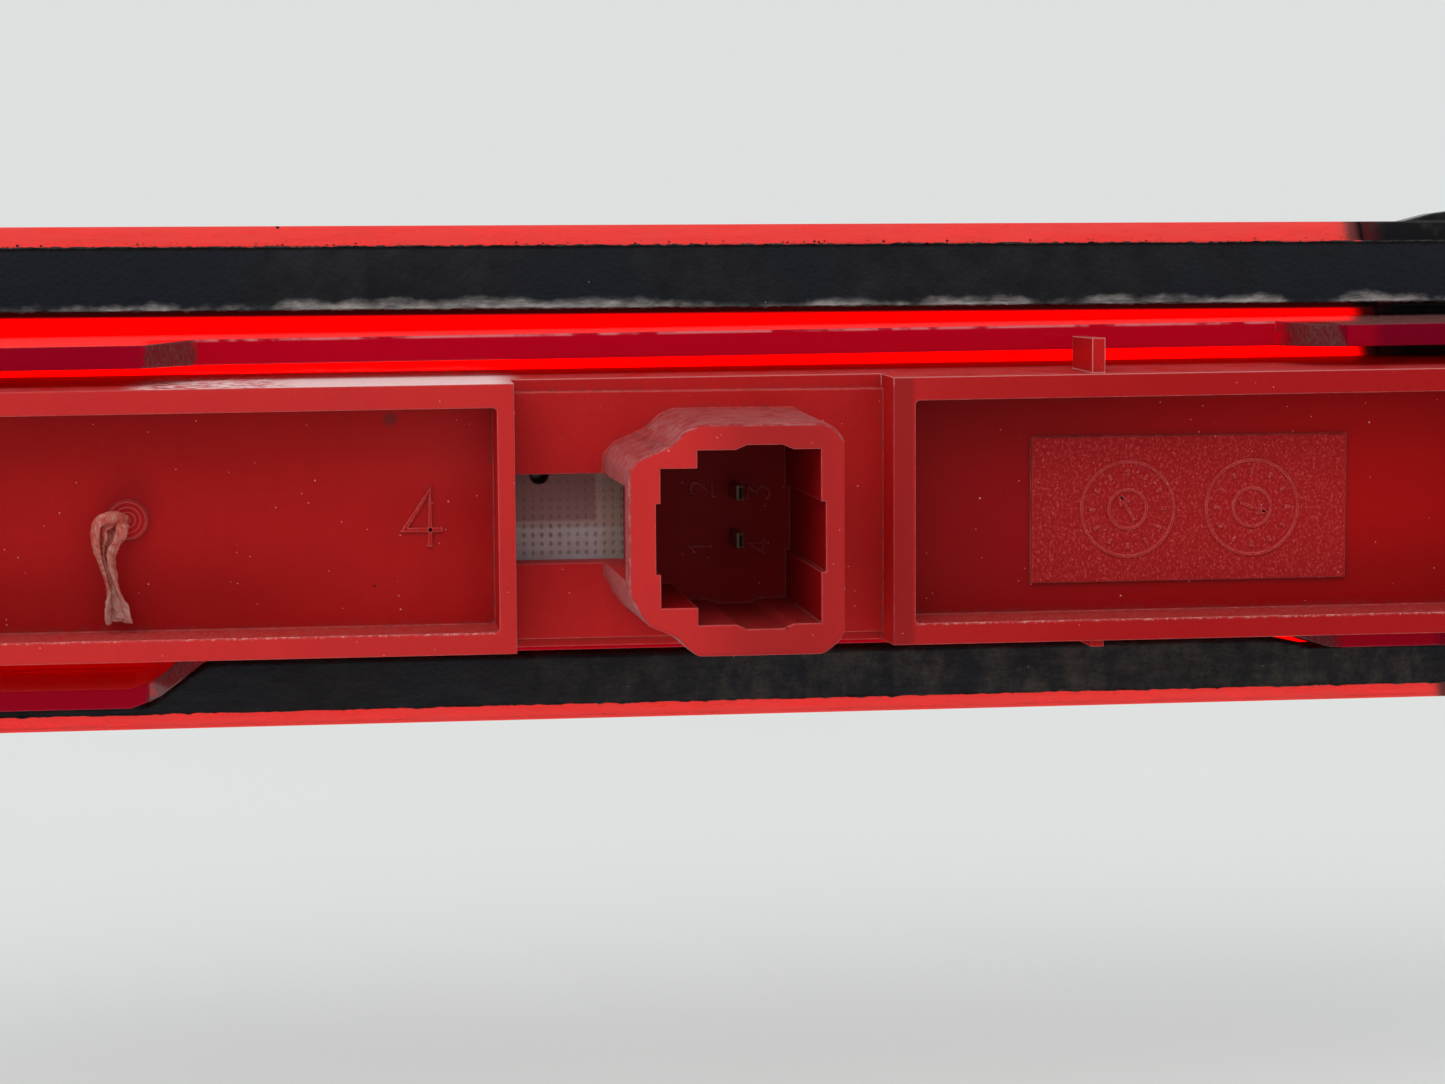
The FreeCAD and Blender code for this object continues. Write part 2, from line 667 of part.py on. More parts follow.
def hollow_chamber(body):
    chamber = back_sketch(
        body, "housing_chamber", "plate_inside",
        box_points("-1 * chamber_half", "chamber_half", "chamber_bottom", "chamber_top"),
    )
    pocket(body, chamber, "chamber_roof - plate_inside", forward=False)
    slots = back_sketch(body, "socket_slots", "socket_floor", pin_outline("pin_upper"), pin_outline("pin_lower"))
    pocket(body, slots, "socket_floor - chamber_roof + 1")
    window = back_sketch(
        body, "housing_window", "window_back",
        box_points("window_right", "window_left", "window_bottom", "window_top"),
    )
    pocket(body, window, "window_back - chamber_roof + 1")
    shank = blank_sketch(body, "housing_stakes", "XZ_Plane", "-1 * ( chamber_roof + 0.3 )")
    head = blank_sketch(body, "housing_stake_heads", "XZ_Plane", "-1 * ( board_back - board_thick )")
    for across in ("stake_across", "-1 * stake_across", "0"):
        add_circle(shank, (across, "stake_up - 1.7"), "stake_radius")
        add_circle(head, (across, "stake_up - 1.7"), "stake_head_radius")
    pad(body, shank, "chamber_roof + 0.3 - board_back + board_thick")
    pad(body, head, "stake_head_thick")


def add_tabs_and_marks(body):
    plate = back_sketch(
        body, "housing_plate", "pocket_floor + plate_rise",
        box_points("plate_right", "plate_left", "plate_bottom", "plate_top"),
    )
    pad(body, plate, "plate_rise + 0.2")
    tabs = back_sketch(
        body, "housing_tabs", "tab_back",
        box_points("tab_right", "tab_left", "housing_top - 1", "housing_top + tab_rise"),
        box_points("tab_right", "tab_left", "housing_bottom - 0.55", "housing_bottom + 1.3"),
    )
    pad(body, tabs, "tab_back - tab_front")
    gate = blank_sketch(body, "housing_gate", "XZ_Plane", "-1 * ( pocket_floor + 0.5 )")
    add_circle(gate, ("gate_across", "gate_up"), "1.3")
    pad(body, gate, "0.7")


# ---- board, terminals and light sources -------------------------------------

def make_board():
    body = new_body("circuit_board")
    outline = back_sketch(
        body, "board_outline", "board_back",
        box_points("-1 * board_half", "board_half", "board_bottom", "board_top"),
    )
    pad(body, outline, "board_thick")
    holes = blank_sketch(body, "board_holes", "XZ_Plane", "-1 * board_back")
    for across, up, radius in (
        ("pin_across", "pin_upper", "0.62"), ("pin_across", "pin_lower", "0.62"),
        ("stake_across", "stake_up - 1.7", "stake_radius"), ("-1 * stake_across", "stake_up - 1.7", "stake_radius"),
        ("0", "stake_up - 1.7", "stake_radius"), ("11.3", "0.45", "0.5"),
    ):
        add_circle(holes, (across, up), radius)
    pocket(body, holes, "board_thick")
    return finish(body, "circuit_board")


def make_pin(label, height):
    body = new_body(label)
    sketch = back_sketch(body, label + "_section", "pin_back", pin_outline(height))
    blade = pad(body, sketch, "pin_back - pin_front")
    tip = measure("pin_back")
    edges = [
        f"Edge{number}" for number, edge in enumerate(blade.Shape.Edges, start=1)
        if all(abs(vertex.Y - tip) < 1e-6 for vertex in edge.Vertexes)
    ]
    point = body.newObject("PartDesign::Chamfer", label + "_point")
    point.Base = (blade, edges)
    bind(point, Size="0.12")
    doc.recompute()
    return finish(body, label)


def make_solder():
    """A cone of solder round each terminal, on the front of the board."""
    cones = []
    board_front = measure("board_back - board_thick")
    for name, height in (("upper", "pin_upper"), ("lower", "pin_lower")):
        cone = doc.addObject("Part::Cone", "solder_cone_" + name)
        bind(cone, Radius1="1.1", Radius2="0.62", Height="0.7")
        place = Vector(measure("pin_across"), board_front, measure(height))
        cone.Placement = Placement(place, Rotation(Vector(1, 0, 0), 90))
        blade = doc.addObject("Part::Box", "solder_slot_" + name)
        bind(blade, Length="pin_wide", Width="4", Height="pin_high")
        corner = Vector(place.x - measure("pin_wide") / 2, board_front - 2, place.z - measure("pin_high") / 2)
        blade.Placement = Placement(corner, Rotation())
        joint = doc.addObject("Part::Cut", "solder_joint_" + name)
        joint.Base, joint.Tool = cone, blade
        cones.append(joint)
    group = doc.addObject("Part::Compound", "solder_joints")
    group.Links = cones
    return finish(group, "solder_joints")


def board_block(label, across, up, length, depth, height):
    """A part soldered on the front of the board, centred at across and up."""
    block = doc.addObject("Part::Box", label)
    bind(block, Length=length, Width=depth, Height=height)
    place = Vector(
        measure(across) - measure(length) / 2,
        measure("board_back - board_thick") - measure(depth),
        measure(up) - measure(height) / 2,
    )
    block.Placement = Placement(place, Rotation())
    return block


def led_across(number):
    return f"( {number} - 0.5 * ( led_count - 1 ) ) * led_pitch"


def make_led(number):
    label = f"led_{number + 1:02d}"
    block = board_block(label + "_package", led_across(number), "led_up", "led_wide", "led_deep", "led_high")
    cup = doc.addObject("Part::Cone", label + "_cup")
    bind(cup, Radius1="led_cup_radius", Radius2="0.6 * led_cup_radius", Height="led_cup_deep")
    front = measure("board_back - board_thick - led_deep")
    place = Vector(measure(led_across(number)), front, measure("led_up"))
    cup.Placement = Placement(place, Rotation(Vector(1, 0, 0), -90))
    led = doc.addObject("Part::Cut", label)
    led.Base, led.Tool = block, cup
    return finish(led, label)


def make_reflector():
    """A block with a cone-shaped cup round every light source, on four short legs."""
    block = doc.addObject("Part::Box", "reflector_block")
    bind(
        block, Length="2 * reflector_half", Width="reflector_back - reflector_front",
        Height="reflector_top - reflector_bottom",
    )
    corner = Vector(-measure("reflector_half"), measure("reflector_front"), measure("reflector_bottom"))
    block.Placement = Placement(corner, Rotation())
    cups = []
    for number in range(int(measure("led_count"))):
        cup = doc.addObject("Part::Cone", f"reflector_cup_{number + 1:02d}")
        bind(cup, Radius1="cup_mouth", Radius2="cup_throat", Height="reflector_back - reflector_front")
        place = Vector(measure(led_across(number)), measure("reflector_front"), measure("led_up"))
        cup.Placement = Placement(place, Rotation(Vector(1, 0, 0), -90))
        cups.append(cup)
    mouths = doc.addObject("Part::MultiFuse", "reflector_cups")
    mouths.Shapes = cups
    dish = doc.addObject("Part::Cut", "reflector_dish")
    dish.Base, dish.Tool = block, mouths
    legs = []
    for side in (-1, 1):
        for height in (-7.0, 3.9):
            leg = doc.addObject("Part::Cylinder", f"reflector_leg_{len(legs) + 1}")
            bind(leg, Radius="0.7", Height="board_back - board_thick - reflector_back + 0.3")
            place = Vector(side * 45.0, measure("reflector_back") - 0.3, height)
            leg.Placement = Placement(place, Rotation(Vector(1, 0, 0), -90))
            legs.append(leg)
    whole = doc.addObject("Part::MultiFuse", "reflector")
    whole.Shapes = [dish] + legs
    return finish(whole, "reflector")


def make_gate_string():
    """A thin strand of drawn plastic that hangs from the moulding gate, with a knot at each end."""
    top = Vector(40.0, measure("pocket_floor") + 1.55, -2.4)
    low = Vector(39.4, measure("pocket_floor") + 0.95, -8.4)
    strand = doc.addObject("Part::Cylinder", "gate_strand")
    bind(strand, Radius="0.6", Height="6.03")
    strand.Placement = Placement(top, Rotation(Vector(0, 0, 1), low - top))
    knots = []
    for name, place, radius in (("upper", top, "1.0"), ("lower", low, "0.9")):
        knot = doc.addObject("Part::Sphere", "gate_knot_" + name)
        bind(knot, Radius=radius)
        knot.Placement = Placement(place, Rotation())
        knots.append(knot)
    string = doc.addObject("Part::MultiFuse", "gate_string")
    string.Shapes = [strand] + knots
    return finish(string, "gate_string")


# ---- the whole lamp ---------------------------------------------------------

make_lens()
make_end("lens_end_left", 1, "gasket_left_inside")
make_end("lens_end_right", -1, "gasket_right_inside")
make_gasket("foam_gasket", "0", "gasket_thick")
make_gasket("gasket_adhesive", "-1 * gasket_thick", "adhesive_thick")
make_housing()
make_board()
make_pin("terminal_pin_upper", "pin_upper")
make_pin("terminal_pin_lower", "pin_lower")
make_solder()
for led in range(int(measure("led_count"))):
    make_led(led)
make_reflector()
for chip, across in enumerate((-30, -10, 10, 30), start=1):
    name = f"resistor_{chip}"
    finish(board_block(name, str(across), "chip_up", "chip_long", "chip_deep", "chip_wide"), name)
finish(board_block("protection_diode", "53.2", "-4.2", "2.6", "2.0", "4.2"), "protection_diode")
finish(board_block("filter_capacitor", "-53.2", "-4.2", "2.6", "1.6", "3.4"), "filter_capacitor")
make_stud("mounting_stud_left", 1)
make_stud("mounting_stud_right", -1)
make_gate_string()
doc.recompute()

for item in doc.Objects:
    if "Invalid" in item.State or "Error" in item.State:
        raise RuntimeError(f"{item.Label} failed: {item.State}")
for item in FINISHED:
    if item.Shape.isNull() or not item.Shape.isValid():
        raise RuntimeError(f"{item.Label} has no valid shape")

os.makedirs("parts", exist_ok=True)
for item in FINISHED:
    item.Shape.exportStep(f"parts/{item.Label}.step")
    print(item.Label, len(item.Shape.Solids), round(item.Shape.Volume, 2))
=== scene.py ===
import math
from types import SimpleNamespace

import bmesh
import bpy
from mathutils import Matrix, Vector, noise


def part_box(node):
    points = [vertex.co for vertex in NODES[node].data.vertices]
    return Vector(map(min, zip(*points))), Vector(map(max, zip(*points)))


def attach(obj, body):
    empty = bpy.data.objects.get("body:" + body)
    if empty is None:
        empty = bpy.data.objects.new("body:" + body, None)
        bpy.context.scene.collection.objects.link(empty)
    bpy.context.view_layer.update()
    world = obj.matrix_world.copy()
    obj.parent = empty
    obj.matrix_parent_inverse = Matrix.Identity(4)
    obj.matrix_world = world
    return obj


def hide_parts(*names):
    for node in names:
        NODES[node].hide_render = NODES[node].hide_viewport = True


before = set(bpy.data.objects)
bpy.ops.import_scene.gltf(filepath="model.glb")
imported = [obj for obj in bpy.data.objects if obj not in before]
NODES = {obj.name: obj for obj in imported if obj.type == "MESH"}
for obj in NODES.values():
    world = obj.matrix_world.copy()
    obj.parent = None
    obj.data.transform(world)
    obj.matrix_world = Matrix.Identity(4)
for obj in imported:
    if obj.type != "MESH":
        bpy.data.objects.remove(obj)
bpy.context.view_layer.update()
MM = 0.001

# Places in millimetres of the part's own frame: X along the lamp, Y from the lens to the socket, Z up.
SEAM_TOP_X, SEAM_TOP_Z, SEAM_SLANT = 49.2, 17.5, 0.223   # the seam between the red part and a black end
WALL_TOP, WALL_FALL = 10.12, 0.00806                     # top line of the lens's wall
LEFT_RAMP, RIGHT_RAMP = (34.3, 37.5), (-44.2, -41.3)     # where the rim of that wall rises, along X
RECESS_FLOOR, PLATE_FACE = 6.0, 6.3
SOCKET_FLOOR, SOCKET_BACK = 6.5, 21.5
SOCKET_X, SOCKET_Z = (-5.75, 5.3), (-8.45, 3.42)         # the socket's hollow
PLATE_X, PLATE_Z = (-45.1, -22.6), (-7.45, 2.65)         # the textured plate
GATE = (38.85, -2.0)                                     # moulding gate in the left recess, X and Z
VIA = (11.3, 0.45)                                       # hole in the board, X and Z
WEAVE = 0.31                                             # half the pitch of the board's glass weave


# ---- camera, floor and light --------------------------------------------------

def add_camera():
    """The viewpoint: 0.2 m behind the lamp, a little above it and turned 7.5 degrees."""
    data = bpy.data.cameras.new("camera")
    data.sensor_width = 36.0
    data.lens = 74.74          # mm
    data.clip_start, data.clip_end = 0.01, 20.0
    camera = bpy.data.objects.new("camera", data)
    place = Vector((25.57, 208.44, 14.73)) * MM
    right = Vector((-0.99137, 0.13097, -0.00603))
    up = Vector((-0.01806, -0.09082, 0.99570))
    back = right.cross(up)
    turn = Matrix((right, up, back)).transposed().to_4x4()
    camera.matrix_world = Matrix.Translation(place) @ turn
    bpy.context.scene.collection.objects.link(camera)
    bpy.context.scene.camera = camera


def add_world():
    world = bpy.data.worlds.new("pale_room")
    world.use_nodes = True
    shade = world.node_tree.nodes["Background"]
    shade.inputs["Color"].default_value = (0.735, 0.75, 0.745, 1)
    shade.inputs["Strength"].default_value = 1.0
    bpy.context.scene.world = world
    bpy.context.scene.view_settings.view_transform = "Standard"


def add_light(name, place, size, power, target=(0, 0, 0)):
    data = bpy.data.lights.new(name, "AREA")
    data.shape = "RECTANGLE"
    data.size, data.size_y = size
    data.energy = power
    light = bpy.data.objects.new(name, data)
    light.location = place
    light.rotation_mode = "QUATERNION"
    light.rotation_quaternion = (Vector(target) - Vector(place)).to_track_quat("-Z", "Y")
    light.visible_camera = False
    bpy.context.scene.collection.objects.link(light)
    return light


# ---- material nodes ---------------------------------------------------------------

class Look:
    """A material made of nodes. Lengths inside it are millimetres in the part's own frame."""

    SAMPLES = 6   # of the bevel and occlusion nodes

    def __init__(self, name):
        self.material = bpy.data.materials.new(name)
        self.material.use_nodes = True
        self.tree = self.material.node_tree
        self.shader = self.tree.nodes["Principled BSDF"]
        self.output = self.tree.nodes["Material Output"]
        place = self.tree.nodes.new("ShaderNodeTexCoord").outputs["Object"]
        scale = self.tree.nodes.new("ShaderNodeVectorMath")
        scale.operation = "SCALE"
        scale.inputs["Scale"].default_value = 1000.0
        self.tree.links.new(place, scale.inputs[0])
        self.mm = scale.outputs[0]
        split = self.node("ShaderNodeSeparateXYZ", {0: self.mm})
        self.x, self.y, self.z = split.outputs

    def put(self, socket, value):
        if isinstance(value, bpy.types.NodeSocket):
            self.tree.links.new(value, socket)
        elif isinstance(value, (tuple, list)) and len(value) == 3 and socket.type == "RGBA":
            socket.default_value = (*value, 1)
        else:
            socket.default_value = value

    def node(self, kind, inputs=(), **settings):
        made = self.tree.nodes.new(kind)
        for key, value in settings.items():
            setattr(made, key, value)
        for key, value in dict(inputs).items():
            self.put(made.inputs[key], value)
        return made

    def math(self, operation, a, b=0.0):
        return self.node("ShaderNodeMath", {0: a, 1: b}, operation=operation).outputs[0]

    def stretch(self, x, y, z):
        return self.node("ShaderNodeMapping", {"Vector": self.mm, "Scale": (x, y, z)}).outputs[0]

    def noise(self, scale, detail=3.0, rough=0.55, at=None, twist=0.0):
        inputs = {"Vector": at or self.mm, "Scale": scale, "Detail": detail, "Roughness": rough}
        return self.node("ShaderNodeTexNoise", {**inputs, "Distortion": twist}).outputs[0]

    def cells(self, scale):
        return self.node("ShaderNodeTexVoronoi", {"Vector": self.mm, "Scale": scale})

    def step(self, value, low, high):
        """0 below low and 1 above high, smooth between. low may be the larger one."""
        inputs = {"Value": value, "From Min": low, "From Max": high}
        return self.node("ShaderNodeMapRange", inputs, interpolation_type="SMOOTHSTEP").outputs[0]

    def fit(self, value, low, high, to_low, to_high):
        inputs = {"Value": value, "From Min": low, "From Max": high, "To Min": to_low, "To Max": to_high}
        return self.node("ShaderNodeMapRange", inputs).outputs[0]

    def both(self, *masks):
        """The product of masks and plain amounts."""
        result = masks[0]
        for mask in masks[1:]:
            result = self.math("MULTIPLY", result, mask)
        return result

    def either(self, *masks):
        """The largest of the masks."""
        result = masks[0]
        for mask in masks[1:]:
            result = self.math("MAXIMUM", result, mask)
        return result

    def total(self, *heights):
        result = heights[0]
        for height in heights[1:]:
            result = self.math("ADD", result, height)
        return result

    def inside(self, value, low, high, soft=0.2):
        return self.both(self.step(value, low - soft, low + soft), self.step(value, high + soft, high - soft))

    def mix(self, mask, a, b):
        made = self.node("ShaderNodeMix", data_type="RGBA")
        self.put(made.inputs["Factor"], mask)
        self.put(made.inputs[6], a)
        self.put(made.inputs[7], b)
        return made.outputs[2]

    def over(self, colour, paint, *masks):
        """colour, with paint over it as far as all the masks reach."""
        return self.mix(self.both(*masks), colour, paint)

    def blend(self, mask, a, b):
        made = self.node("ShaderNodeMix", data_type="FLOAT")
        self.put(made.inputs["Factor"], mask)
        self.put(made.inputs[2], a)
        self.put(made.inputs[3], b)
        return made.outputs[0]

    def away(self, x, z):
        """Distance from a line along Y through (x, z)."""
        across, up = self.math("SUBTRACT", self.x, x), self.math("SUBTRACT", self.z, z)
        square = self.math("ADD", self.math("MULTIPLY", across, across), self.math("MULTIPLY", up, up))
        return self.math("SQRT", square)

    def facing(self, axis):
        """How much the surface faces +X, +Y or +Z: 0 to 1."""
        normal = self.node("ShaderNodeNewGeometry").outputs["Normal"]
        return self.node("ShaderNodeSeparateXYZ", {0: normal}).outputs[axis]

    def crevice(self, distance):
        """1 in a corner, 0 in the open."""
        inputs = {"Distance": distance * MM}
        open_part = self.node("ShaderNodeAmbientOcclusion", inputs, samples=self.SAMPLES).outputs["AO"]
        return self.math("SUBTRACT", 1.0, open_part)

    def rounded(self, radius):
        """The surface normal as if every edge were rounded to radius."""
        return self.node("ShaderNodeBevel", {"Radius": radius * MM}, samples=self.SAMPLES).outputs[0]

    def edge(self, radius):
        """1 on a sharp outer or inner edge, 0 on a flat face."""
        soft = self.rounded(radius)
        hard = self.node("ShaderNodeNewGeometry").outputs["Normal"]
        match = self.node("ShaderNodeVectorMath", {0: soft, 1: hard}, operation="DOT_PRODUCT")
        return self.step(match.outputs["Value"], 0.995, 0.8)

    def bump(self, height, depth, rounding=0.0):
        """depth is how far, in millimetres, a height of 1 stands out."""
        inputs = {"Height": height, "Strength": 1.0, "Distance": depth * MM}
        if rounding:
            inputs["Normal"] = self.rounded(rounding)
        self.put(self.shader.inputs["Normal"], self.node("ShaderNodeBump", inputs).outputs[0])

    def set(self, **values):
        for key, value in values.items():
            self.put(self.shader.inputs[key.replace("_", " ")], value)

    def fixed(self, name, value):
        """A uniform value, set on the shader's own socket."""
        self.shader.inputs[name].default_value = value

    def specks(self, scale, size, amount):
        """Small round specks: about one to each cell of 1 / scale, of which only some are kept."""
        cell = self.cells(scale)
        kept = self.node("ShaderNodeSeparateXYZ", {0: cell.outputs["Color"]}).outputs[0]
        round_part = self.step(cell.outputs["Distance"], size, size * 0.5)
        return self.both(round_part, self.step(kept, 1 - amount, 1 - amount + 0.01))


def dress(material, *names):
    for name in names:
        node = NODES[name]
        if not node.material_slots:
            node.data.materials.append(material)
        for slot in node.material_slots:
            slot.material = material


def past_seam(look):
    """How far, in millimetres, a point lies beyond the slanted seam between the red part and a black end."""
    across = look.math("ABSOLUTE", look.x)
    slant = look.math("MULTIPLY", look.math("SUBTRACT", SEAM_TOP_Z, look.z), SEAM_SLANT)
    return look.math("SUBTRACT", look.math("SUBTRACT", across, SEAM_TOP_X), slant)


def below_wall_top(look):
    """How far, in millimetres, a point lies below the top line of the lens's wall, which falls towards +X."""
    top = look.math("SUBTRACT", WALL_TOP, look.math("MULTIPLY", look.x, WALL_FALL))
    return look.math("SUBTRACT", top, look.z)


def lens_look():
    """Clear red acrylic: dyed through, hazy where it was handled, with grime on the ramps of its wall, a
    painted highlight along the wall's top line, and painted shade under the foam's edge and low down behind
    the housing.
    """
    look = Look("red_lens")
    back = look.step(look.facing(1), 0.3, 0.8)
    margin = look.both(back, look.either(look.step(look.z, 15.2, 15.6), look.step(look.z, -15.5, -15.9)))
    streaks = look.noise(1.6, 4.0, 0.7, look.stretch(0.12, 1, 1))
    wall = look.step(look.y, -2.6, -2.2)
    wall_back = look.both(wall, back)
    leaning = look.both(wall, look.step(look.facing(2), 0.5, 0.9))
    # Painted highlight: a thin pale line along the wall's top edge, also a little hazy and rougher.
    top_highlight_line = look.inside(below_wall_top(look), 0.0, 0.16, 0.07)
    rim = look.both(wall_back, top_highlight_line, look.step(look.noise(0.5, 4.0), 0.38, 0.55))
    frayed = look.math("ADD", look.x, look.fit(look.noise(1.1, 5.0, 0.75), 0.3, 0.7, -0.7, 0.7))
    on_ramp = look.either(look.inside(frayed, *LEFT_RAMP, 0.35), look.inside(frayed, *RIGHT_RAMP, 0.35))
    blots = look.noise(4.5, 5.0, 0.8, look.stretch(1.2, 1, 0.6))
    grime = look.both(on_ramp, look.step(look.y, 2.9, 3.1), look.fit(blots, 0.35, 0.6, 0.8, 1.0))
    # Painted shade: the lens low down between the housing and the wall is painted dark and made less clear.
    low_plate_shade = look.both(look.step(look.z, -10.5, -11.5), look.inside(look.y, -4.75, -4.4, 0.05))
    seam = look.both(look.step(look.y, -2.0, -2.2), look.step(past_seam(look), -1.6, -0.1))
    # Painted shadow: a dark band on the flange just under the foam's inner edge.
    foam_edge_shadow = look.both(look.inside(look.y, -3.1, -2.9, 0.05), look.inside(look.z, 11.25, 11.8, 0.12))
    loose = look.both(margin, look.specks(0.8, 0.14, 0.10), look.step(look.z, -15, -14))
    shed = look.both(margin, look.specks(2.6, 0.34, 0.42), look.inside(look.z, 15.9, 16.35, 0.08))
    crumbs = look.either(loose, shed)

    haze = look.both(margin, look.fit(streaks, 0.3, 0.7, 0.30, 0.42))
    haze = look.either(haze, look.both(leaning, look.fit(streaks, 0.35, 0.65, 0.02, 0.24)))
    haze = look.either(haze, look.both(rim, 0.16))
    body = look.either(look.both(wall, 0.36), look.both(low_plate_shade, 0.34))
    colour = look.over((0.95, 0.002, 0.035), (0.50, 0.0005, 0.035), wall_back)
    colour = look.over(colour, (1.0, 0.40, 0.38), leaning)
    colour = look.over(colour, (0.85, 0.215, 0.19), margin)
    colour = look.over(colour, (1.0, 0.45, 0.50), rim)
    colour = look.over(colour, (0.10, 0.001, 0.001), low_plate_shade)
    dirt = look.over((0.085, 0.020, 0.022), (0.15, 0.055, 0.055), look.step(blots, 0.40, 0.66))
    colour = look.over(colour, dirt, grime)
    # Dark crumbs, the black beyond the seam, and the painted shadow under the foam's edge.
    colour = look.over(colour, (0.018, 0.004, 0.005), look.either(crumbs, foam_edge_shadow, seam))
    stains_and_shadow = look.either(look.both(grime, 0.9), crumbs, look.both(foam_edge_shadow, 0.85), look.both(seam, 0.9))
    clear = look.math("SUBTRACT", 1.0, look.either(haze, body, stains_and_shadow))
    rough = look.blend(look.either(margin, rim), 0.06, 0.2)
    look.set(Base_Color=colour, Roughness=rough, IOR=1.49, Transmission_Weight=clear)
    look.bump(look.noise(0.35, 3.0, 0.5), 0.008, rounding=0.16)
    dye = look.node("ShaderNodeVolumeAbsorption", {"Color": (0.960, 0.0, 0.3), "Density": 4000.0})
    look.tree.links.new(dye.outputs[0], look.output.inputs["Volume"])
    return look.material


def trim_look():
    """Black moulded ends: fine dust, rubbed edges and a little of the lens's red next to the seam."""
    look = Look("black_trim")
    dust = look.step(look.noise(0.8, 5.0, 0.65), 0.5, 0.8)
    scratch = look.step(look.noise(3.0, 2.0, 0.7, look.stretch(0.05, 1, 1)), 0.64, 0.7)
    colour = look.over((0.012, 0.012, 0.014), (0.11, 0.10, 0.10), dust, 0.35)
    colour = look.over(colour, (0.12, 0.11, 0.11), look.edge(0.3), 0.4)
    colour = look.over(colour, (0.10, 0.010, 0.012), look.step(past_seam(look), 1.8, 0.1))
    rough = look.fit(look.either(dust, scratch), 0, 1, 0.28, 0.45)
    look.set(Base_Color=colour, Roughness=rough, IOR=1.49)
    look.fixed("Specular IOR Level", 0.3)
    look.bump(look.noise(0.4, 3.0), 0.01, rounding=0.3)
    return look.material


def housing_parts(look):
    """Masks of the housing's parts: 1 on the part and 0 elsewhere."""
    part = SimpleNamespace()
    part.up = look.step(look.facing(2), 0.35, 0.85)
    part.back = look.step(look.facing(1), 0.4, 0.9)
    # Towards -X: this mask carries painted shade where less light falls.
    part.far = look.step(look.x, 5, -34)
    low_enough = look.step(look.y, RECESS_FLOOR + 2.0, RECESS_FLOOR + 0.5)
    part.floor = look.both(part.back, low_enough, look.step(look.y, RECESS_FLOOR - 0.5, RECESS_FLOOR))
    in_side_field = look.either(look.step(look.x, 14.0, 14.4), look.step(look.x, -13.2, -13.6))
    part.recess = look.both(part.floor, in_side_field)
    part.right_recess = look.both(part.recess, look.step(look.x, 0, -1))
    middle = look.both(look.inside(look.x, -12.0, 13.4, 0.1), look.step(look.y, 9.0, 8.0))
    part.middle = look.both(part.back, middle, look.step(look.y, 6.0, 6.55))
    hollow = look.both(look.inside(look.x, *SOCKET_X, 0.02), look.inside(look.z, *SOCKET_Z, 0.02))
    part.socket_hollow = look.both(hollow, look.step(look.y, SOCKET_BACK - 0.2, SOCKET_BACK - 0.6))
    part.rim = look.both(part.back, look.step(look.y, 10.7, 10.9))
    plate = look.both(look.inside(look.x, *PLATE_X, 0.05), look.inside(look.z, *PLATE_Z, 0.05))
    part.plate = look.both(plate, look.step(look.y, PLATE_FACE - 0.1, PLATE_FACE - 0.02), part.back)
    sideways = look.math("MULTIPLY", look.facing(0), look.x)
    upward = look.math("MULTIPLY", look.facing(2), look.math("ADD", look.z, 2.5))
    outward = look.step(look.math("ADD", sideways, upward), 1.0, 3.0)
    lit_side = look.either(look.step(look.facing(2), 0.1, 0.4), look.step(look.facing(0), 0.3, 0.7))
    socket_box = look.both(look.step(look.y, 6.8, 8.2), look.inside(look.x, -9, 9, 0.5))
    part.shroud = look.both(socket_box, outward, lit_side)
    return part


def red_with_painted_shade(look, part, mottle):
    """The plastic's red by region, with painted light: painted shade in the recesses, the socket's hollow, on
    the rib and towards -X, a painted glow in the right recess and a painted lighter rim; the outer recesses
    are darker towards the bottom.
    """
    broad = look.noise(0.06, 3.0, 0.5)
    flow = look.noise(0.5, 4.0, 0.6, look.stretch(1, 1, 0.25))
    colour = look.over((0.49, 0.010, 0.011), (0.58, 0.015, 0.015), look.step(broad, 0.35, 0.65))
    colour = look.over(colour, (0.42, 0.007, 0.008), look.step(flow, 0.4, 0.7), 0.3)
    # Painted shade: darker towards -X.
    colour = look.over(colour, (0.42, 0.002, 0.004), part.far, 0.62)
    colour = look.over(colour, (0.66, 0.030, 0.030), look.fit(mottle, 0.35, 0.65, 0.0, 0.22))
    # Painted shade: the recesses are darker; the right recess gets a painted glow towards -X.
    colour = look.over(colour, (0.31, 0.003, 0.004), part.recess, 0.60)
    glowing = look.over((0.22, 0.002, 0.004), (0.37, 0.0004, 0.001), look.step(look.x, -16, -48))
    colour = look.over(colour, glowing, part.right_recess, 0.8)
    outer = look.either(look.step(look.x, -22, -42), look.step(look.x, 20, 34))
    colour = look.over(colour, (0.19, 0.001, 0.002), part.recess, look.step(look.z, -2.5, -7.5), outer, 0.45)
    corner = look.both(look.step(look.z, -2.0, 2.0), look.step(look.x, 27, 16), look.step(look.x, 0, 1))
    colour = look.over(colour, (0.52, 0.018, 0.020), part.recess, corner, 0.6)
    # Painted shade in the middle recess and, below, in the socket's hollow.
    colour = look.over(colour, (0.36, 0.012, 0.014), part.middle, 0.35)
    cavity = look.step(look.y, SOCKET_FLOOR - 0.2, SOCKET_FLOOR - 0.1)
    colour = look.over(colour, (0.22, 0.001, 0.004), part.socket_hollow, cavity, 0.65)
    # Painted light and shade on the rim: lighter on the +X part, darker towards -X.
    colour = look.over(colour, (0.56, 0.038, 0.036), part.rim, look.fit(part.far, 0, 1, 0.45, 0.15))
    colour = look.over(colour, (0.30, 0.002, 0.004), part.rim, part.far, 0.60)
    # Painted shade on the rim's rib and on the rim below the socket.
    rib_shade = look.both(look.inside(look.x, -13.4, -11.9, 0.3), look.step(look.y, 12, 11.5), 0.62)
    shaded = look.both(look.inside(look.x, -7.2, 1, 3), look.step(look.y, 20, 21), 0.5)
    return look.over(colour, (0.25, 0.012, 0.014), part.rim, look.either(rib_shade, shaded))


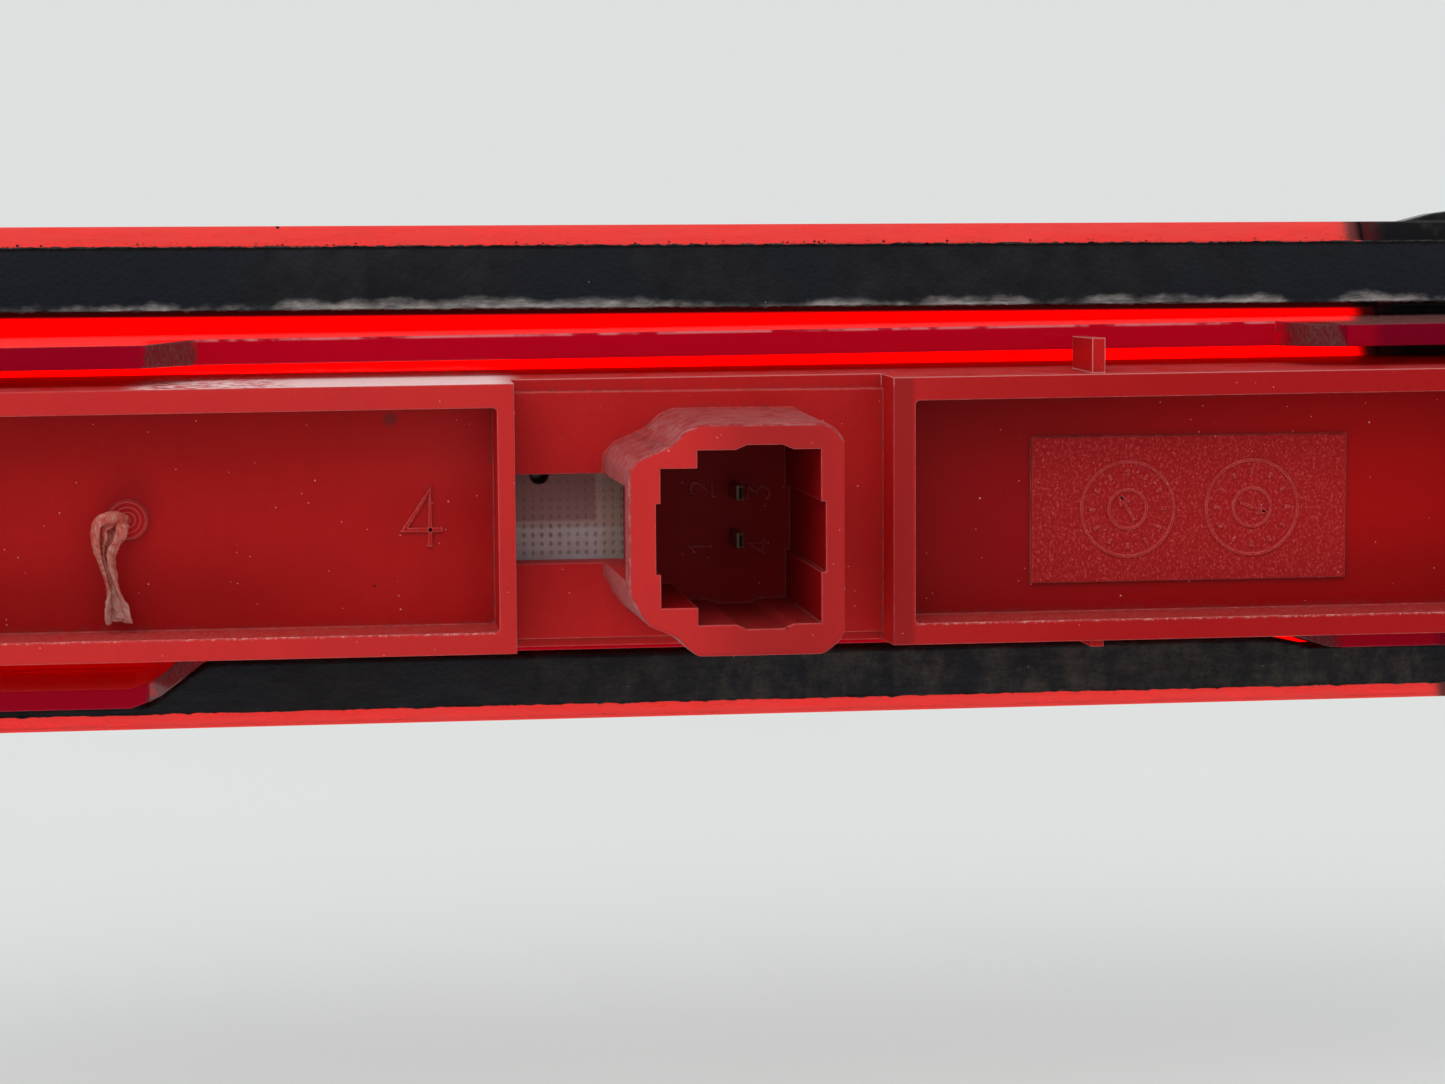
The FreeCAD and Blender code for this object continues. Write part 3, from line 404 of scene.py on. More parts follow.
def powder_mask(look, part):
    """Pale powder: thick on the left shelf, brushed on the outside of the socket, thin elsewhere."""
    drift = look.step(look.noise(0.33, 5.0, 0.68), 0.30, 0.52)
    grit = look.step(look.noise(5.0, 4.0, 0.7, look.stretch(0.35, 1, 1)), 0.36, 0.5)
    ragged = look.either(look.step(look.x, 31, 27), look.step(look.noise(1.1, 5.0, 0.75), 0.42, 0.52))
    on_left = look.both(look.inside(look.x, 13.4, 38.0, 1.5), look.step(look.z, 6.4, 6.7), ragged)
    thick = look.both(on_left, look.fit(grit, 0, 1, 0.78, 1.0))
    shelf = look.both(part.up, look.either(thick, look.both(drift, grit, 0.08)), look.step(look.z, 6.0, 6.3))
    strokes = look.step(look.noise(1.6, 5.0, 0.75, look.stretch(0.5, 1.6, 1), twist=0.8), 0.42, 0.62)
    on_side = look.both(look.step(look.facing(0), 0.3, 0.8), look.fit(strokes, 0, 1, 0.08, 0.26))
    brushed = look.both(part.shroud, look.either(on_side, look.fit(strokes, 0, 1, 0.02, 0.18)))
    return shelf, look.either(shelf, brushed)


def dirt_and_shade_in_corners(look, part, colour):
    silt = look.noise(4.5, 5.0, 0.85)
    # Dark in corners: partly dirt, partly painted shade.
    corner = look.step(look.crevice(1.0), 0.25, 0.55)
    broken = look.step(look.noise(1.9, 5.0, 0.75), 0.40, 0.60)
    colour = look.over(colour, (0.13, 0.040, 0.034), corner, broken, 0.6)
    sill = look.both(part.up, look.step(look.z, -7.6, -8.2), look.step(silt, 0.46, 0.60))
    colour = look.over(colour, (0.60, 0.33, 0.29), sill, look.blend(part.socket_hollow, 0.42, 0.15))
    beside = look.either(look.step(look.x, 14.4, 14.8), look.step(look.x, -13.4, -13.8))
    edge = look.both(look.inside(look.z, -9.62, -9.42, 0.08), look.step(look.y, 10.6, 10.9))
    return look.over(colour, (0.85, 0.55, 0.52), beside, edge, look.step(silt, 0.50, 0.62), 0.6)


def housing_look(name="red_housing", fine_marks=False):
    """Red moulded plastic: flow bands, pale edges that are partly wear and partly painted highlight, dirt and
    painted shade in corners, painted shade in the recesses and towards -X, and pale powder where dust
    settles.
    """
    look = Look(name)
    part = housing_parts(look)
    fine = look.noise(14.0, 3.0, 0.6)
    mottle = look.noise(2.6, 5.0, 0.75)
    sparks = look.noise(6.0, 5.0, 0.85, look.stretch(1, 1, 0.7))
    edge_wear_and_highlight = look.edge(0.16)
    shelf, powder = powder_mask(look, part)
    colour = red_with_painted_shade(look, part, mottle)
    colour = look.over(colour, (0.37, 0.012, 0.014), part.plate, 0.7)
    colour = look.over(colour, (0.70, 0.085, 0.085), part.plate, look.step(sparks, 0.50, 0.66), 0.75)
    # Pale edges: partly wear, partly painted highlight.
    rubbed = look.fit(look.noise(1.3, 4.0, 0.7), 0.3, 0.7, 0.25, 0.95)
    colour = look.over(colour, (0.80, 0.20, 0.19), edge_wear_and_highlight, rubbed)
    colour = look.over(colour, (0.23, 0.012, 0.013), part.shroud, 0.7)
    if not fine_marks:
        colour = dirt_and_shade_in_corners(look, part, colour)
    colour = look.over(colour, look.over((0.90, 0.56, 0.56), (0.96, 0.66, 0.66), shelf), powder)
    # A pale line along the top edges of the left box: partly dust, partly painted highlight.
    ridge_dust_and_highlight = look.both(edge_wear_and_highlight, look.step(look.z, 6.4, 6.6), look.step(look.x, 14, 12))
    colour = look.over(colour, (0.92, 0.44, 0.42), ridge_dust_and_highlight, 0.75)
    chill = look.step(look.math("ADD", look.away(38.5, -0.6), look.noise(0.7, 3.0)), 3.2, 1.0)
    colour = look.over(colour, (0.24, 0.004, 0.006), part.floor, chill, 0.5)
    from_gate = look.away(*GATE)
    ripple = look.step(look.math("PINGPONG", from_gate, 0.17), 0.09, 0.15)
    rings = look.both(look.step(from_gate, 1.32, 1.22), ripple)
    colour = look.over(colour, (0.75, 0.14, 0.13), rings, 0.3)
    smudge = look.step(look.math("ADD", look.away(21.4, 4.4), look.noise(1.4, 4.0, 0.7)), 1.15, 0.7)
    colour = look.over(colour, (0.11, 0.035, 0.03), smudge, part.floor, 0.6)
    lint = look.either(look.specks(0.9, 0.07, 0.22), look.specks(2.3, 0.12, 0.09))
    colour = look.over(colour, (0.80, 0.40, 0.38), lint, 0.7)
    colour = look.over(colour, (0.05, 0.008, 0.008), look.specks(0.35, 0.06, 0.10), part.back)

    rough = look.fit(fine, 0.3, 0.7, 0.36, 0.46)
    rough = look.blend(powder, look.blend(part.plate, rough, 0.6), 0.75)
    look.set(Base_Color=colour, Roughness=rough, IOR=1.5)
    look.fixed("Specular IOR Level", 0.16)
    look.fixed("Specular Tint", (1.0, 0.5, 0.5, 1))
    grain = look.total(
        look.both(fine, 0.25), look.both(look.noise(0.8, 3.0), 0.6), look.both(mottle, 0.5),
        look.both(part.plate, sparks, 3.6), look.both(rings, 1.5), look.both(powder, 0.6),
    )
    look.bump(grain, 0.02, rounding=0.05 if fine_marks else 0.22)
    return look.material


def foam_look():
    """Charcoal closed-cell foam with painted shade along its top and bottom edges, dust drawn along its lower
    edge and tan smears below the housing.
    """
    look = Look("foam")
    pores = look.cells(3.2).outputs["Distance"]
    cloud = look.noise(0.35, 5.0, 0.65)
    colour = look.over((0.0085, 0.0095, 0.012), (0.016, 0.018, 0.022), look.step(cloud, 0.3, 0.7))
    colour = look.over(colour, (0.0095, 0.0125, 0.019), look.step(look.noise(0.05, 2.0), 0.45, 0.6))
    holes = look.both(look.step(pores, 0.25, 0.05), look.step(look.noise(2.0, 3.0), 0.5, 0.6))
    colour = look.over(colour, (0.005, 0.005, 0.006), holes)
    wander = look.noise(0.22, 4.0, 0.6, look.stretch(0.8, 1, 1))
    brush = look.noise(1.1, 5.0, 0.7, look.stretch(0.28, 1, 1.5))
    depth_in_dust = look.math("SUBTRACT", look.fit(wander, 0.35, 0.68, 11.7, 12.6), look.z)
    upper_strip = look.both(look.step(look.z, 11.3, 11.8), look.step(look.z, 14, 13.5))
    edge_dust = look.both(look.step(depth_in_dust, -0.25, 0.55), upper_strip)
    edge_dust = look.both(edge_dust, look.step(wander, 0.36, 0.52), look.fit(brush, 0.34, 0.62, 0.1, 1.0))
    below = look.step(look.z, 0, -1)
    patch = look.step(look.noise(0.34, 5.0, 0.75, look.stretch(1, 1, 0.6)), 0.40, 0.68)
    smear = look.both(below, patch, look.step(look.x, 26, -14), look.fit(brush, 0.3, 0.7, 0.4, 1.0))
    # Painted shade: the foam's top and bottom edges are painted darker.
    torn = look.either(look.step(look.z, 15.75, 15.95), look.step(look.z, -15.85, -16.0))
    colour = look.over(colour, (0.004, 0.003, 0.003), torn)
    colour = look.over(colour, (0.40, 0.385, 0.365), edge_dust, 0.85)
    colour = look.over(colour, (0.035, 0.035, 0.035), below, look.fit(brush, 0.3, 0.7, 0.1, 0.5))
    colour = look.over(colour, (0.12, 0.10, 0.078), smear, 0.5)
    colour = look.over(colour, (0.4, 0.37, 0.34), look.specks(0.8, 0.05, 0.14), 0.6)
    look.set(Base_Color=colour, Roughness=0.92, IOR=1.4)
    look.fixed("Specular IOR Level", 0.25)
    look.fixed("Sheen Weight", 0.08)
    look.fixed("Sheen Roughness", 0.5)
    look.bump(look.total(look.noise(4.0, 5.0, 0.7), look.both(pores, 0.8)), 0.10)
    return look.material


def board_look():
    """Pale board with its glass weave showing as rows of dots, a buried trace and a via ringed with painted
    shade.
    """
    look = Look("board_laminate")
    fine = look.noise(7.0, 4.0, 0.7)
    column = look.math("PINGPONG", look.math("ADD", look.x, WEAVE), WEAVE)
    row = look.math("PINGPONG", look.math("ADD", look.z, WEAVE), WEAVE)
    weave = look.both(look.step(column, 0.13, 0.27), look.step(row, 0.10, 0.24))
    lines = look.either(look.step(column, 0.24, WEAVE), look.step(row, 0.26, WEAVE))
    colour = look.over((0.40, 0.29, 0.27), (0.47, 0.35, 0.32), look.step(fine, 0.35, 0.65))
    trace = look.both(look.step(look.z, -2.9, -2.6), look.step(look.x, 7.3, 7.6))
    colour = look.over(colour, (0.27, 0.115, 0.105), trace, 0.7)
    pale = look.both(look.step(look.z, -3.0, -3.4), look.fit(look.noise(0.9, 3.0), 0.3, 0.7, 0.4, 0.9))
    colour = look.over(colour, (0.50, 0.50, 0.53), pale)
    colour = look.over(colour, (0.28, 0.20, 0.19), lines, 0.2)
    cloudy = look.fit(look.noise(0.35, 3.0), 0.35, 0.65, 0.4, 0.9)
    colour = look.over(colour, (0.17, 0.125, 0.135), weave, cloudy, look.fit(look.z, -1.2, -3.0, 0.25, 0.9))
    colour = look.over(colour, (0.30, 0.24, 0.13), look.step(look.x, 7.5, 6.4), 0.45)
    # Painted shade: a dark disc around the via's hole.
    colour = look.over(colour, (0.006, 0.006, 0.006), look.step(look.away(*VIA), 0.72, 0.62))
    look.set(Base_Color=colour, Roughness=0.5, IOR=1.5)
    look.bump(look.math("SUBTRACT", fine, look.math("MULTIPLY", weave, 1.5)), 0.03)
    return look.material


def cloudy_look(name, colour, dark, rough, scale=2.0, spread=0.12, grain=(6, 0.01), metallic=0.0):
    """Cloudy colour and roughness with a fine grain: its fineness against the clouds, and its depth."""
    look = Look(name)
    cloud = look.noise(scale, 4.0, 0.6)
    colour = look.over(colour, dark, look.step(cloud, 0.35, 0.7))
    look.set(Base_Color=colour, Roughness=look.fit(cloud, 0.3, 0.7, rough, rough + spread))
    look.fixed("Metallic", metallic)
    fineness, depth = grain
    look.bump(look.noise(scale * fineness, 3.0), depth, rounding=0.08)
    return look.material


def metal_look(name, colour, dark, rough, scale=3.0):
    return cloudy_look(name, colour, dark, rough, scale, spread=0.18, grain=(5, 0.006), metallic=1.0)


def adhesive_look():
    """Dark film, its outer edges painted with the bright red glow of the lens margin as painted light."""
    look = Look("adhesive")
    cloud = look.noise(0.7, 4.0, 0.6)
    colour = look.over((0.012, 0.010, 0.010), (0.030, 0.024, 0.022), look.step(cloud, 0.4, 0.7))
    # Painted light: the outer edges get the lens margin's bright lit red.
    outer = look.step(look.math("ABSOLUTE", look.z), 15.2, 15.4)
    colour = look.over(colour, (0.88, 0.045, 0.045), outer, look.step(past_seam(look), 0.0, -0.4))
    look.set(Base_Color=colour, Roughness=0.7)
    look.bump(look.noise(4.0, 3.0), 0.02)
    return look.material


def gate_look():
    """Milky drawn plastic: reddish at the top, paler at the torn end."""
    look = Look("gate_plastic")
    milk = look.noise(1.6, 4.0, 0.65, twist=0.6)
    streak = look.noise(2.5, 3.0, 0.6, look.stretch(2.2, 2.2, 0.5))
    colour = look.over((0.56, 0.115, 0.085), (0.74, 0.31, 0.25), look.step(milk, 0.35, 0.65))
    colour = look.over(colour, (0.74, 0.075, 0.05), look.step(look.z, -4.6, -2.6), 0.45)
    colour = look.over(colour, (0.72, 0.42, 0.38), look.step(look.z, -6.2, -7.6), 0.55)
    colour = look.over(colour, (0.85, 0.62, 0.55), look.step(streak, 0.55, 0.7), 0.6)
    look.set(Base_Color=colour, Roughness=look.fit(milk, 0.3, 0.7, 0.2, 0.4), IOR=1.49)
    look.fixed("Transmission Weight", 0.4)
    look.bump(streak, 0.05)
    return look.material


def terminal_look():
    """Tinned blade: its flanks are cloudy; its stamped end is painted dark as shade, with painted highlights
    on its edges and along its +X side.
    """
    look = Look("tinned_terminal")
    cloud = look.noise(3.0, 4.0, 0.6)
    end = look.step(look.facing(1), 0.6, 0.9)
    colour = look.over((0.30, 0.22, 0.15), (0.13, 0.08, 0.06), look.step(cloud, 0.35, 0.7))
    # Painted shade: the end face is painted dark.
    colour = look.over(colour, (0.02, 0.012, 0.01), end)
    # Painted highlights: pale along the end's edges and along its +X side.
    colour = look.over(colour, (0.46, 0.44, 0.30), look.edge(0.07), end)
    colour = look.over(colour, (0.62, 0.58, 0.42), end, look.step(look.x, -1.60, -1.54))
    look.set(Base_Color=colour, Roughness=look.fit(cloud, 0.3, 0.7, 0.28, 0.45))
    look.fixed("Metallic", 0.35)
    look.bump(look.noise(15.0, 3.0), 0.006, rounding=0.05)
    return look.material


# ---- pieces ---------------------------------------------------------------------------

def add_piece(name, mesh, material, smooth=True):
    piece = bpy.data.objects.new(name, mesh)
    mesh.materials.clear()
    mesh.materials.append(material)
    if smooth:
        mesh.shade_smooth()
    bpy.context.scene.collection.objects.link(piece)
    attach(piece, "root")
    return piece


def baked(piece):
    """The piece's mesh with its modifiers applied, as a new mesh."""
    graph = bpy.context.evaluated_depsgraph_get()
    graph.update()
    return bpy.data.meshes.new_from_object(piece.evaluated_get(graph))


def clamp(value, low, high):
    return min(max(value, low), high)


def join_rings(mesh, rings, closed_ends=True):
    """Faces between rings of vertices, each a closed loop with as many vertices as the next."""
    for low, high in zip(rings, rings[1:]):
        for k, corner in enumerate(low):
            after = (k + 1) % len(low)
            mesh.faces.new((corner, low[after], high[after], high[k]))
    if closed_ends:
        mesh.faces.new(rings[0][::-1])
        mesh.faces.new(rings[-1])


def finished(mesh, name):
    """A mesh from a bmesh, with its faces turned outwards."""
    bmesh.ops.recalc_face_normals(mesh, faces=mesh.faces)
    made = bpy.data.meshes.new(name)
    mesh.to_mesh(made)
    mesh.free()
    return made


TORN_EDGE = ((1.9, 0.7), (0.7, 0.35), (4.1, 0.5))   # noise scale per millimetre, and weight


def make_foam(material):
    """The gasket as real foam, with soft corners, a torn outer edge and dents."""
    source = NODES["foam_gasket"].data.copy()
    work = bpy.data.objects.new("foam_work", source)
    bpy.context.scene.collection.objects.link(work)
    remesh = work.modifiers.new("remesh", "REMESH")
    remesh.mode = "VOXEL"
    remesh.voxel_size = 0.26 * MM
    mesh = baked(work)
    bpy.data.objects.remove(work)
    low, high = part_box("foam_gasket")
    normals = [vertex.normal.copy() for vertex in mesh.vertices]
    for vertex, normal in zip(mesh.vertices, normals):
        p = vertex.co / MM
        level = Vector((p.x, p.y * 1.4, p.z))
        ragged = sum(noise.noise(level * scale) * weight for scale, weight in TORN_EDGE)
        side = 1 - abs(normal.y)
        outer = side * (1 if normal.z * p.z > 0 or abs(p.x) > 92 else 0.45)
        dents = noise.noise(level * 0.35) * 0.6 + noise.noise(level * 1.6) * 0.4
        push = -0.20 * outer + 0.42 * outer * ragged
        face = (1 - side) * (-0.10 + 0.12 * dents) if normal.y > 0 else 0.0
        vertex.co += normal * (push + face) * MM
        vertex.co = [clamp(vertex.co[axis], low[axis], high[axis]) for axis in range(3)]
    piece = add_piece("foam_strip", mesh, material)
    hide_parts("foam_gasket")
    return piece


def sweep(points, widths, thicks, twists, sides=12):
    """A closed strand through points, with its own width, thickness and twist at each."""
    mesh = bmesh.new()
    rings = []
    count = len(points)
    for i, place in enumerate(points):
        ahead = points[min(i + 1, count - 1)] - points[max(i - 1, 0)]
        ahead.normalize()
        side = ahead.cross(Vector((0, 1, 0))).normalized()
        out = side.cross(ahead)
        turn = Matrix.Rotation(twists[i], 3, ahead)
        side, out = turn @ side, turn @ out
        ring = []
        for k in range(sides):
            angle = math.tau * k / sides
            across = side * math.cos(angle) * widths[i] / 2
            ring.append(mesh.verts.new(place + across + out * math.sin(angle) * thicks[i] / 2))
        rings.append(ring)
    join_rings(mesh, rings)
    return finished(mesh, "strand")


def add_threaded_stud(name, node, material):
    """A steel stud with a rolled thread, a hexagonal collar and a chamfered end."""
    low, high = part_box(node)
    centre_x, centre_z = (low.x + high.x) / 2 / MM, (low.z + high.z) / 2 / MM
    front, back = low.y / MM, high.y / MM
    collar_front, collar_back = -1.5, 0.0
    pitch, outer, root = 0.8, 2.5, 2.05
    sides, steps_per_turn = 36, 12
    mesh = bmesh.new()

    def ring(y, radius_of):
        made = []
        for k in range(sides):
            angle = math.tau * k / sides
            across, up = radius_of(angle) * math.cos(angle), radius_of(angle) * math.sin(angle)
            made.append(mesh.verts.new(Vector((centre_x + across, y, centre_z + up)) * MM))
        return made

    def plain(radius):
        return lambda angle: radius

    def hexagon(across):
        def radius_of(angle):
            part = (angle % (math.tau / 6)) - math.tau / 12
            return min(across / 2 / math.cos(part), across / 2 * 1.11)
        return radius_of

    def thread(y, depth):
        def radius_of(angle):
            turn = (y / pitch - angle / math.tau) % 1.0
            crest = 1 - abs(2 * turn - 1)
            return outer - depth * (1 - clamp((crest - 0.12) / 0.76, 0.0, 1.0))
        return radius_of

    levels = [(front, plain(1.85)), (front + 0.25, plain(2.1)), (collar_front, plain(2.1))]
    levels += [(collar_front, hexagon(7.4)), (collar_front + 0.18, hexagon(8.0))]
    levels += [(collar_back - 0.22, hexagon(8.0)), (collar_back, hexagon(7.3))]
    levels += [(collar_back, plain(2.3)), (collar_back + 0.5, plain(2.05))]
    start, end = collar_back + 0.7, back - 0.5
    steps = int((end - start) / pitch * steps_per_turn)
    for i in range(steps + 1):
        y = start + (end - start) * i / steps
        fade = min(1.0, (y - start) / 0.6)
        levels.append((y, thread(y, (outer - root) * (0.9 + 0.1 * fade))))
    levels += [(back - 0.25, plain(2.0)), (back, plain(1.75))]
    join_rings(mesh, [ring(y, radius_of) for y, radius_of in levels])
    piece = add_piece(name, finished(mesh, name), material, smooth=False)
    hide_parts(node)
    return piece


# route of (x, y, z), width at the start, the middle and the end, thickness, turns
GATE_STRANDS = (
    ([(38.9, 6.9, -2.1), (39.3, 7.6, -1.75), (40.0, 8.0, -1.65), (40.7, 8.1, -1.95), (40.9, 8.0, -2.7),
      (40.85, 7.9, -3.7), (40.6, 7.8, -4.6), (40.3, 7.7, -5.6), (40.1, 7.6, -6.4), (40.1, 7.5, -7.1),
      (40.2, 7.4, -8.0), (40.15, 7.3, -8.85)],
     (0.95, 0.72, 1.1), 0.3, 0.3),
    ([(38.9, 6.9, -2.1), (39.1, 7.5, -2.0), (39.15, 7.9, -2.8), (39.55, 8.0, -3.5), (39.9, 8.0, -4.1),
      (39.9, 8.0, -4.7), (39.7, 7.9, -5.6), (39.5, 7.8, -6.4), (39.25, 7.6, -7.2), (39.0, 7.5, -8.0),
      (38.95, 7.3, -8.8)],
     (1.0, 0.62, 1.15), 0.28, -0.4),
    ([(39.2, 7.3, -1.9), (39.9, 7.7, -2.1), (40.4, 7.7, -2.5), (40.2, 7.8, -3.1), (40.4, 7.7, -3.6),
      (40.3, 7.7, -4.4), (40.0, 7.6, -5.3), (39.85, 7.5, -6.2), (39.7, 7.4, -7.0), (39.5, 7.3, -7.8),
      (39.5, 7.2, -8.5)],
     (0.6, 0.6, 1.0), 0.22, 0.6),
    ([(39.5, 7.0, -1.95), (39.95, 7.3, -2.7), (40.15, 7.4, -3.7), (40.1, 7.4, -4.8), (39.9, 7.3, -5.8),
      (39.85, 7.2, -6.7), (39.7, 7.1, -7.6), (39.6, 7.0, -8.75)],
     (1.5, 0.9, 1.9), 0.12, 0.02),
)


def smooth_line(route):
    """Points along one smooth curve through the route, given in millimetres."""
    curve = bpy.data.curves.new("guide", "CURVE")
    curve.dimensions = "3D"
    spline = curve.splines.new("NURBS")
    spline.points.add(len(route) - 1)
    for point, place in zip(spline.points, route):
        point.co = (*(Vector(place) * MM), 1)
    spline.order_u = 3
    spline.use_endpoint_u = True
    curve.resolution_u = 8
    holder = bpy.data.objects.new("guide", curve)
    bpy.context.scene.collection.objects.link(holder)
    points = [v.co.copy() for v in baked(holder).vertices]
    bpy.data.objects.remove(holder)
    return points


def make_gate_string(material):
    """A drawn wisp of plastic: ribbons looped over the gate, twisted together, and fanned out at the end."""
    wisp = bmesh.new()
    for route, (start, middle, end), thick, turns in GATE_STRANDS:
        points = smooth_line(route)
        last = len(points) - 1
        widths, thicks, twists = [], [], []
        for i in range(last + 1):
            along = i / last
            wobble = noise.noise(Vector((along * 9, start * 31, end * 17)))
            swell = start + (middle - start) * min(along / 0.5, 1)
            swell += (end - middle) * max((along - 0.72) / 0.28, 0) ** 1.5
            widths.append((swell + 0.12 * wobble) * MM)
            thicks.append((thick + 0.06 * wobble) * MM)
            twists.append(math.tau * turns * along + 0.5 * wobble)
        wisp.from_mesh(sweep(points, widths, thicks, twists))
    mesh = bpy.data.meshes.new("gate_wisp")
    wisp.to_mesh(mesh)
    wisp.free()
    piece = add_piece("gate_wisp", mesh, material)
    normals = [vertex.normal.copy() for vertex in mesh.vertices]
    for vertex, normal in zip(mesh.vertices, normals):
        p = vertex.co / MM
        crumple = 0.05 + 0.10 * clamp((-7.0 - p.z) / 1.2, 0, 1)
        vertex.co += normal * (noise.noise(p * 2.3) * crumple + noise.noise(p * 5.5) * 0.04) * MM
    subdivide = piece.modifiers.new("smooth", "SUBSURF")
    subdivide.levels = subdivide.render_levels = 1
    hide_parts("gate_string")
    return piece


def add_strokes(name, strokes, width, height, base_y, material):
    """Raised strokes on a face that looks along +Y. Each stroke is a list of (x, z) in millimetres."""
    mesh = bmesh.new()
    for stroke in strokes:
        closed = stroke[0] == stroke[-1]
        places = [Vector((x, 0, z)) for x, z in (stroke[:-1] if closed else stroke)]
        count = len(places)
        profile = ((-0.5, 0.0), (-0.32, 1.0), (0.32, 1.0), (0.5, 0.0))   # across and up, of width and height
        rings = []
        for i, place in enumerate(places):
            before = places[i - 1] if closed or i else places[i]
            after = places[(i + 1) % count] if closed or i < count - 1 else places[i]
            into = (place - before).normalized() if place != before else (after - place).normalized()
            away = (after - place).normalized() if place != after else into
            tangent = (into + away).normalized()
            side = Vector((tangent.z, 0, -tangent.x))
            spread = 1 / max(0.5, math.cos(into.angle(away) / 2))
            ring = []
            for across, up in profile:
                raised = Vector((0, base_y + up * height, 0))
                ring.append(mesh.verts.new((place + side * across * width * spread + raised) * MM))
            rings.append(ring)
        join_rings(mesh, rings + [rings[0]] if closed else rings, closed_ends=not closed)
    return add_piece(name, finished(mesh, name), material, smooth=False)


def arc(centre, radius, start, end, count):
    """Points on a circle in the X-Z plane, angles in degrees."""
    return [
        (centre[0] + radius * math.cos(math.radians(start + (end - start) * i / count)),
         centre[1] + radius * math.sin(math.radians(start + (end - start) * i / count)))
        for i in range(count + 1)
    ]


DIGITS = {
    "1": [[(-0.25, 0.3), (0.05, 0.5), (0.05, -0.5)]],
    "2": [[(-0.28, 0.28), (-0.18, 0.44), (0.0, 0.5), (0.2, 0.43), (0.28, 0.25), (0.2, 0.05), (-0.3, -0.5),
           (0.3, -0.5)]],
    "3": [[(-0.28, 0.5), (0.28, 0.5), (-0.02, 0.12), (0.2, 0.06), (0.3, -0.15), (0.2, -0.42), (0.0, -0.5),
           (-0.28, -0.38)]],
    "4": [[(0.12, -0.5), (0.12, 0.5), (-0.34, -0.2), (0.34, -0.2)]],
}


def digit(text, centre, height, turned=False):
    """A digit as seen from behind the lamp, where +X is on the left; turned lies on its side."""
    strokes = []
    for stroke in DIGITS[text]:
        placed = []
        for across, up in stroke:
            if turned:
                across, up = -up, across
            placed.append((centre[0] - across * height, centre[1] + up * height))
        strokes.append(placed)
    return strokes


def around(centre, radius, angle):
    return (centre[0] + radius * math.cos(angle), centre[1] + radius * math.sin(angle))


def dial(centre, pointer):
    """A mould dial: two rings, twelve ticks and an arrow turned to pointer degrees."""
    strokes = [arc(centre, 3.3, 0, 360, 48), arc(centre, 1.35, 0, 360, 32)]
    for tick in range(12):
        strokes.append([around(centre, radius, math.radians(tick * 30)) for radius in (2.35, 2.75)])
    angle = math.radians(pointer)
    tip = around(centre, 1.0, angle)
    strokes.append([around(centre, -0.9, angle), tip])
    for lean in (-0.5, 0.5):
        strokes.append([tip, around(tip, -0.7, angle + lean)])
    return strokes


def add_markings(material):
    """The generic marks: a cavity number, the terminal positions and two mould dials."""
    def add(name, strokes, width, height, face):
        add_strokes(name, strokes, width, height, face, material)

    add("cavity_number", digit("4", (19.28, -2.25), 3.8), 0.38, 0.24, RECESS_FLOOR)
    positions = (("2", (0.49, -0.46)), ("1", (0.52, -4.49)), ("3", (-3.49, -0.86)), ("4", (-3.47, -4.42)))
    strokes = [stroke for text, centre in positions for stroke in digit(text, centre, 1.5, turned=True)]
    add("terminal_numbers", strokes, 0.24, 0.2, SOCKET_FLOOR)
    add("mould_dial_1", dial((-29.4, -2.4), 60.0), 0.26, 0.13, PLATE_FACE)
    add("mould_dial_2", dial((-38.3, -2.4), 200.0), 0.26, 0.13, PLATE_FACE)


# ---- the scene -----------------------------------------------------------------------------

def add_sheet(name, corners, material):
    mesh = bpy.data.meshes.new(name)
    mesh.from_pydata(corners, [], [(0, 1, 2, 3)])
    mesh.materials.append(material)
    sheet = bpy.data.objects.new(name, mesh)
    bpy.context.scene.collection.objects.link(sheet)
    return sheet


def add_dark_cards():
    """Cards behind and below the camera that only reflections see: the dark part of the room."""
    felt = Look("dark_felt")
    felt.set(Base_Color=felt.mix(felt.noise(0.05), (0.01, 0.01, 0.011), (0.02, 0.02, 0.021)), Roughness=0.9)
    half, near, far, low, high = 1.2, 0.03, 0.32, -0.049, 1.0
    behind = [(-half, far, low), (half, far, low), (half, far, high), (-half, far, high)]
    below = [(-half, near, low), (half, near, low), (half, far, low), (-half, far, low)]
    for name, corners in (("dark_card_behind", behind), ("dark_card_below", below)):
        card = add_sheet(name, corners, felt.material)
        for kind in ("camera", "diffuse", "transmission", "volume_scatter", "shadow"):
            setattr(card, "visible_" + kind, False)


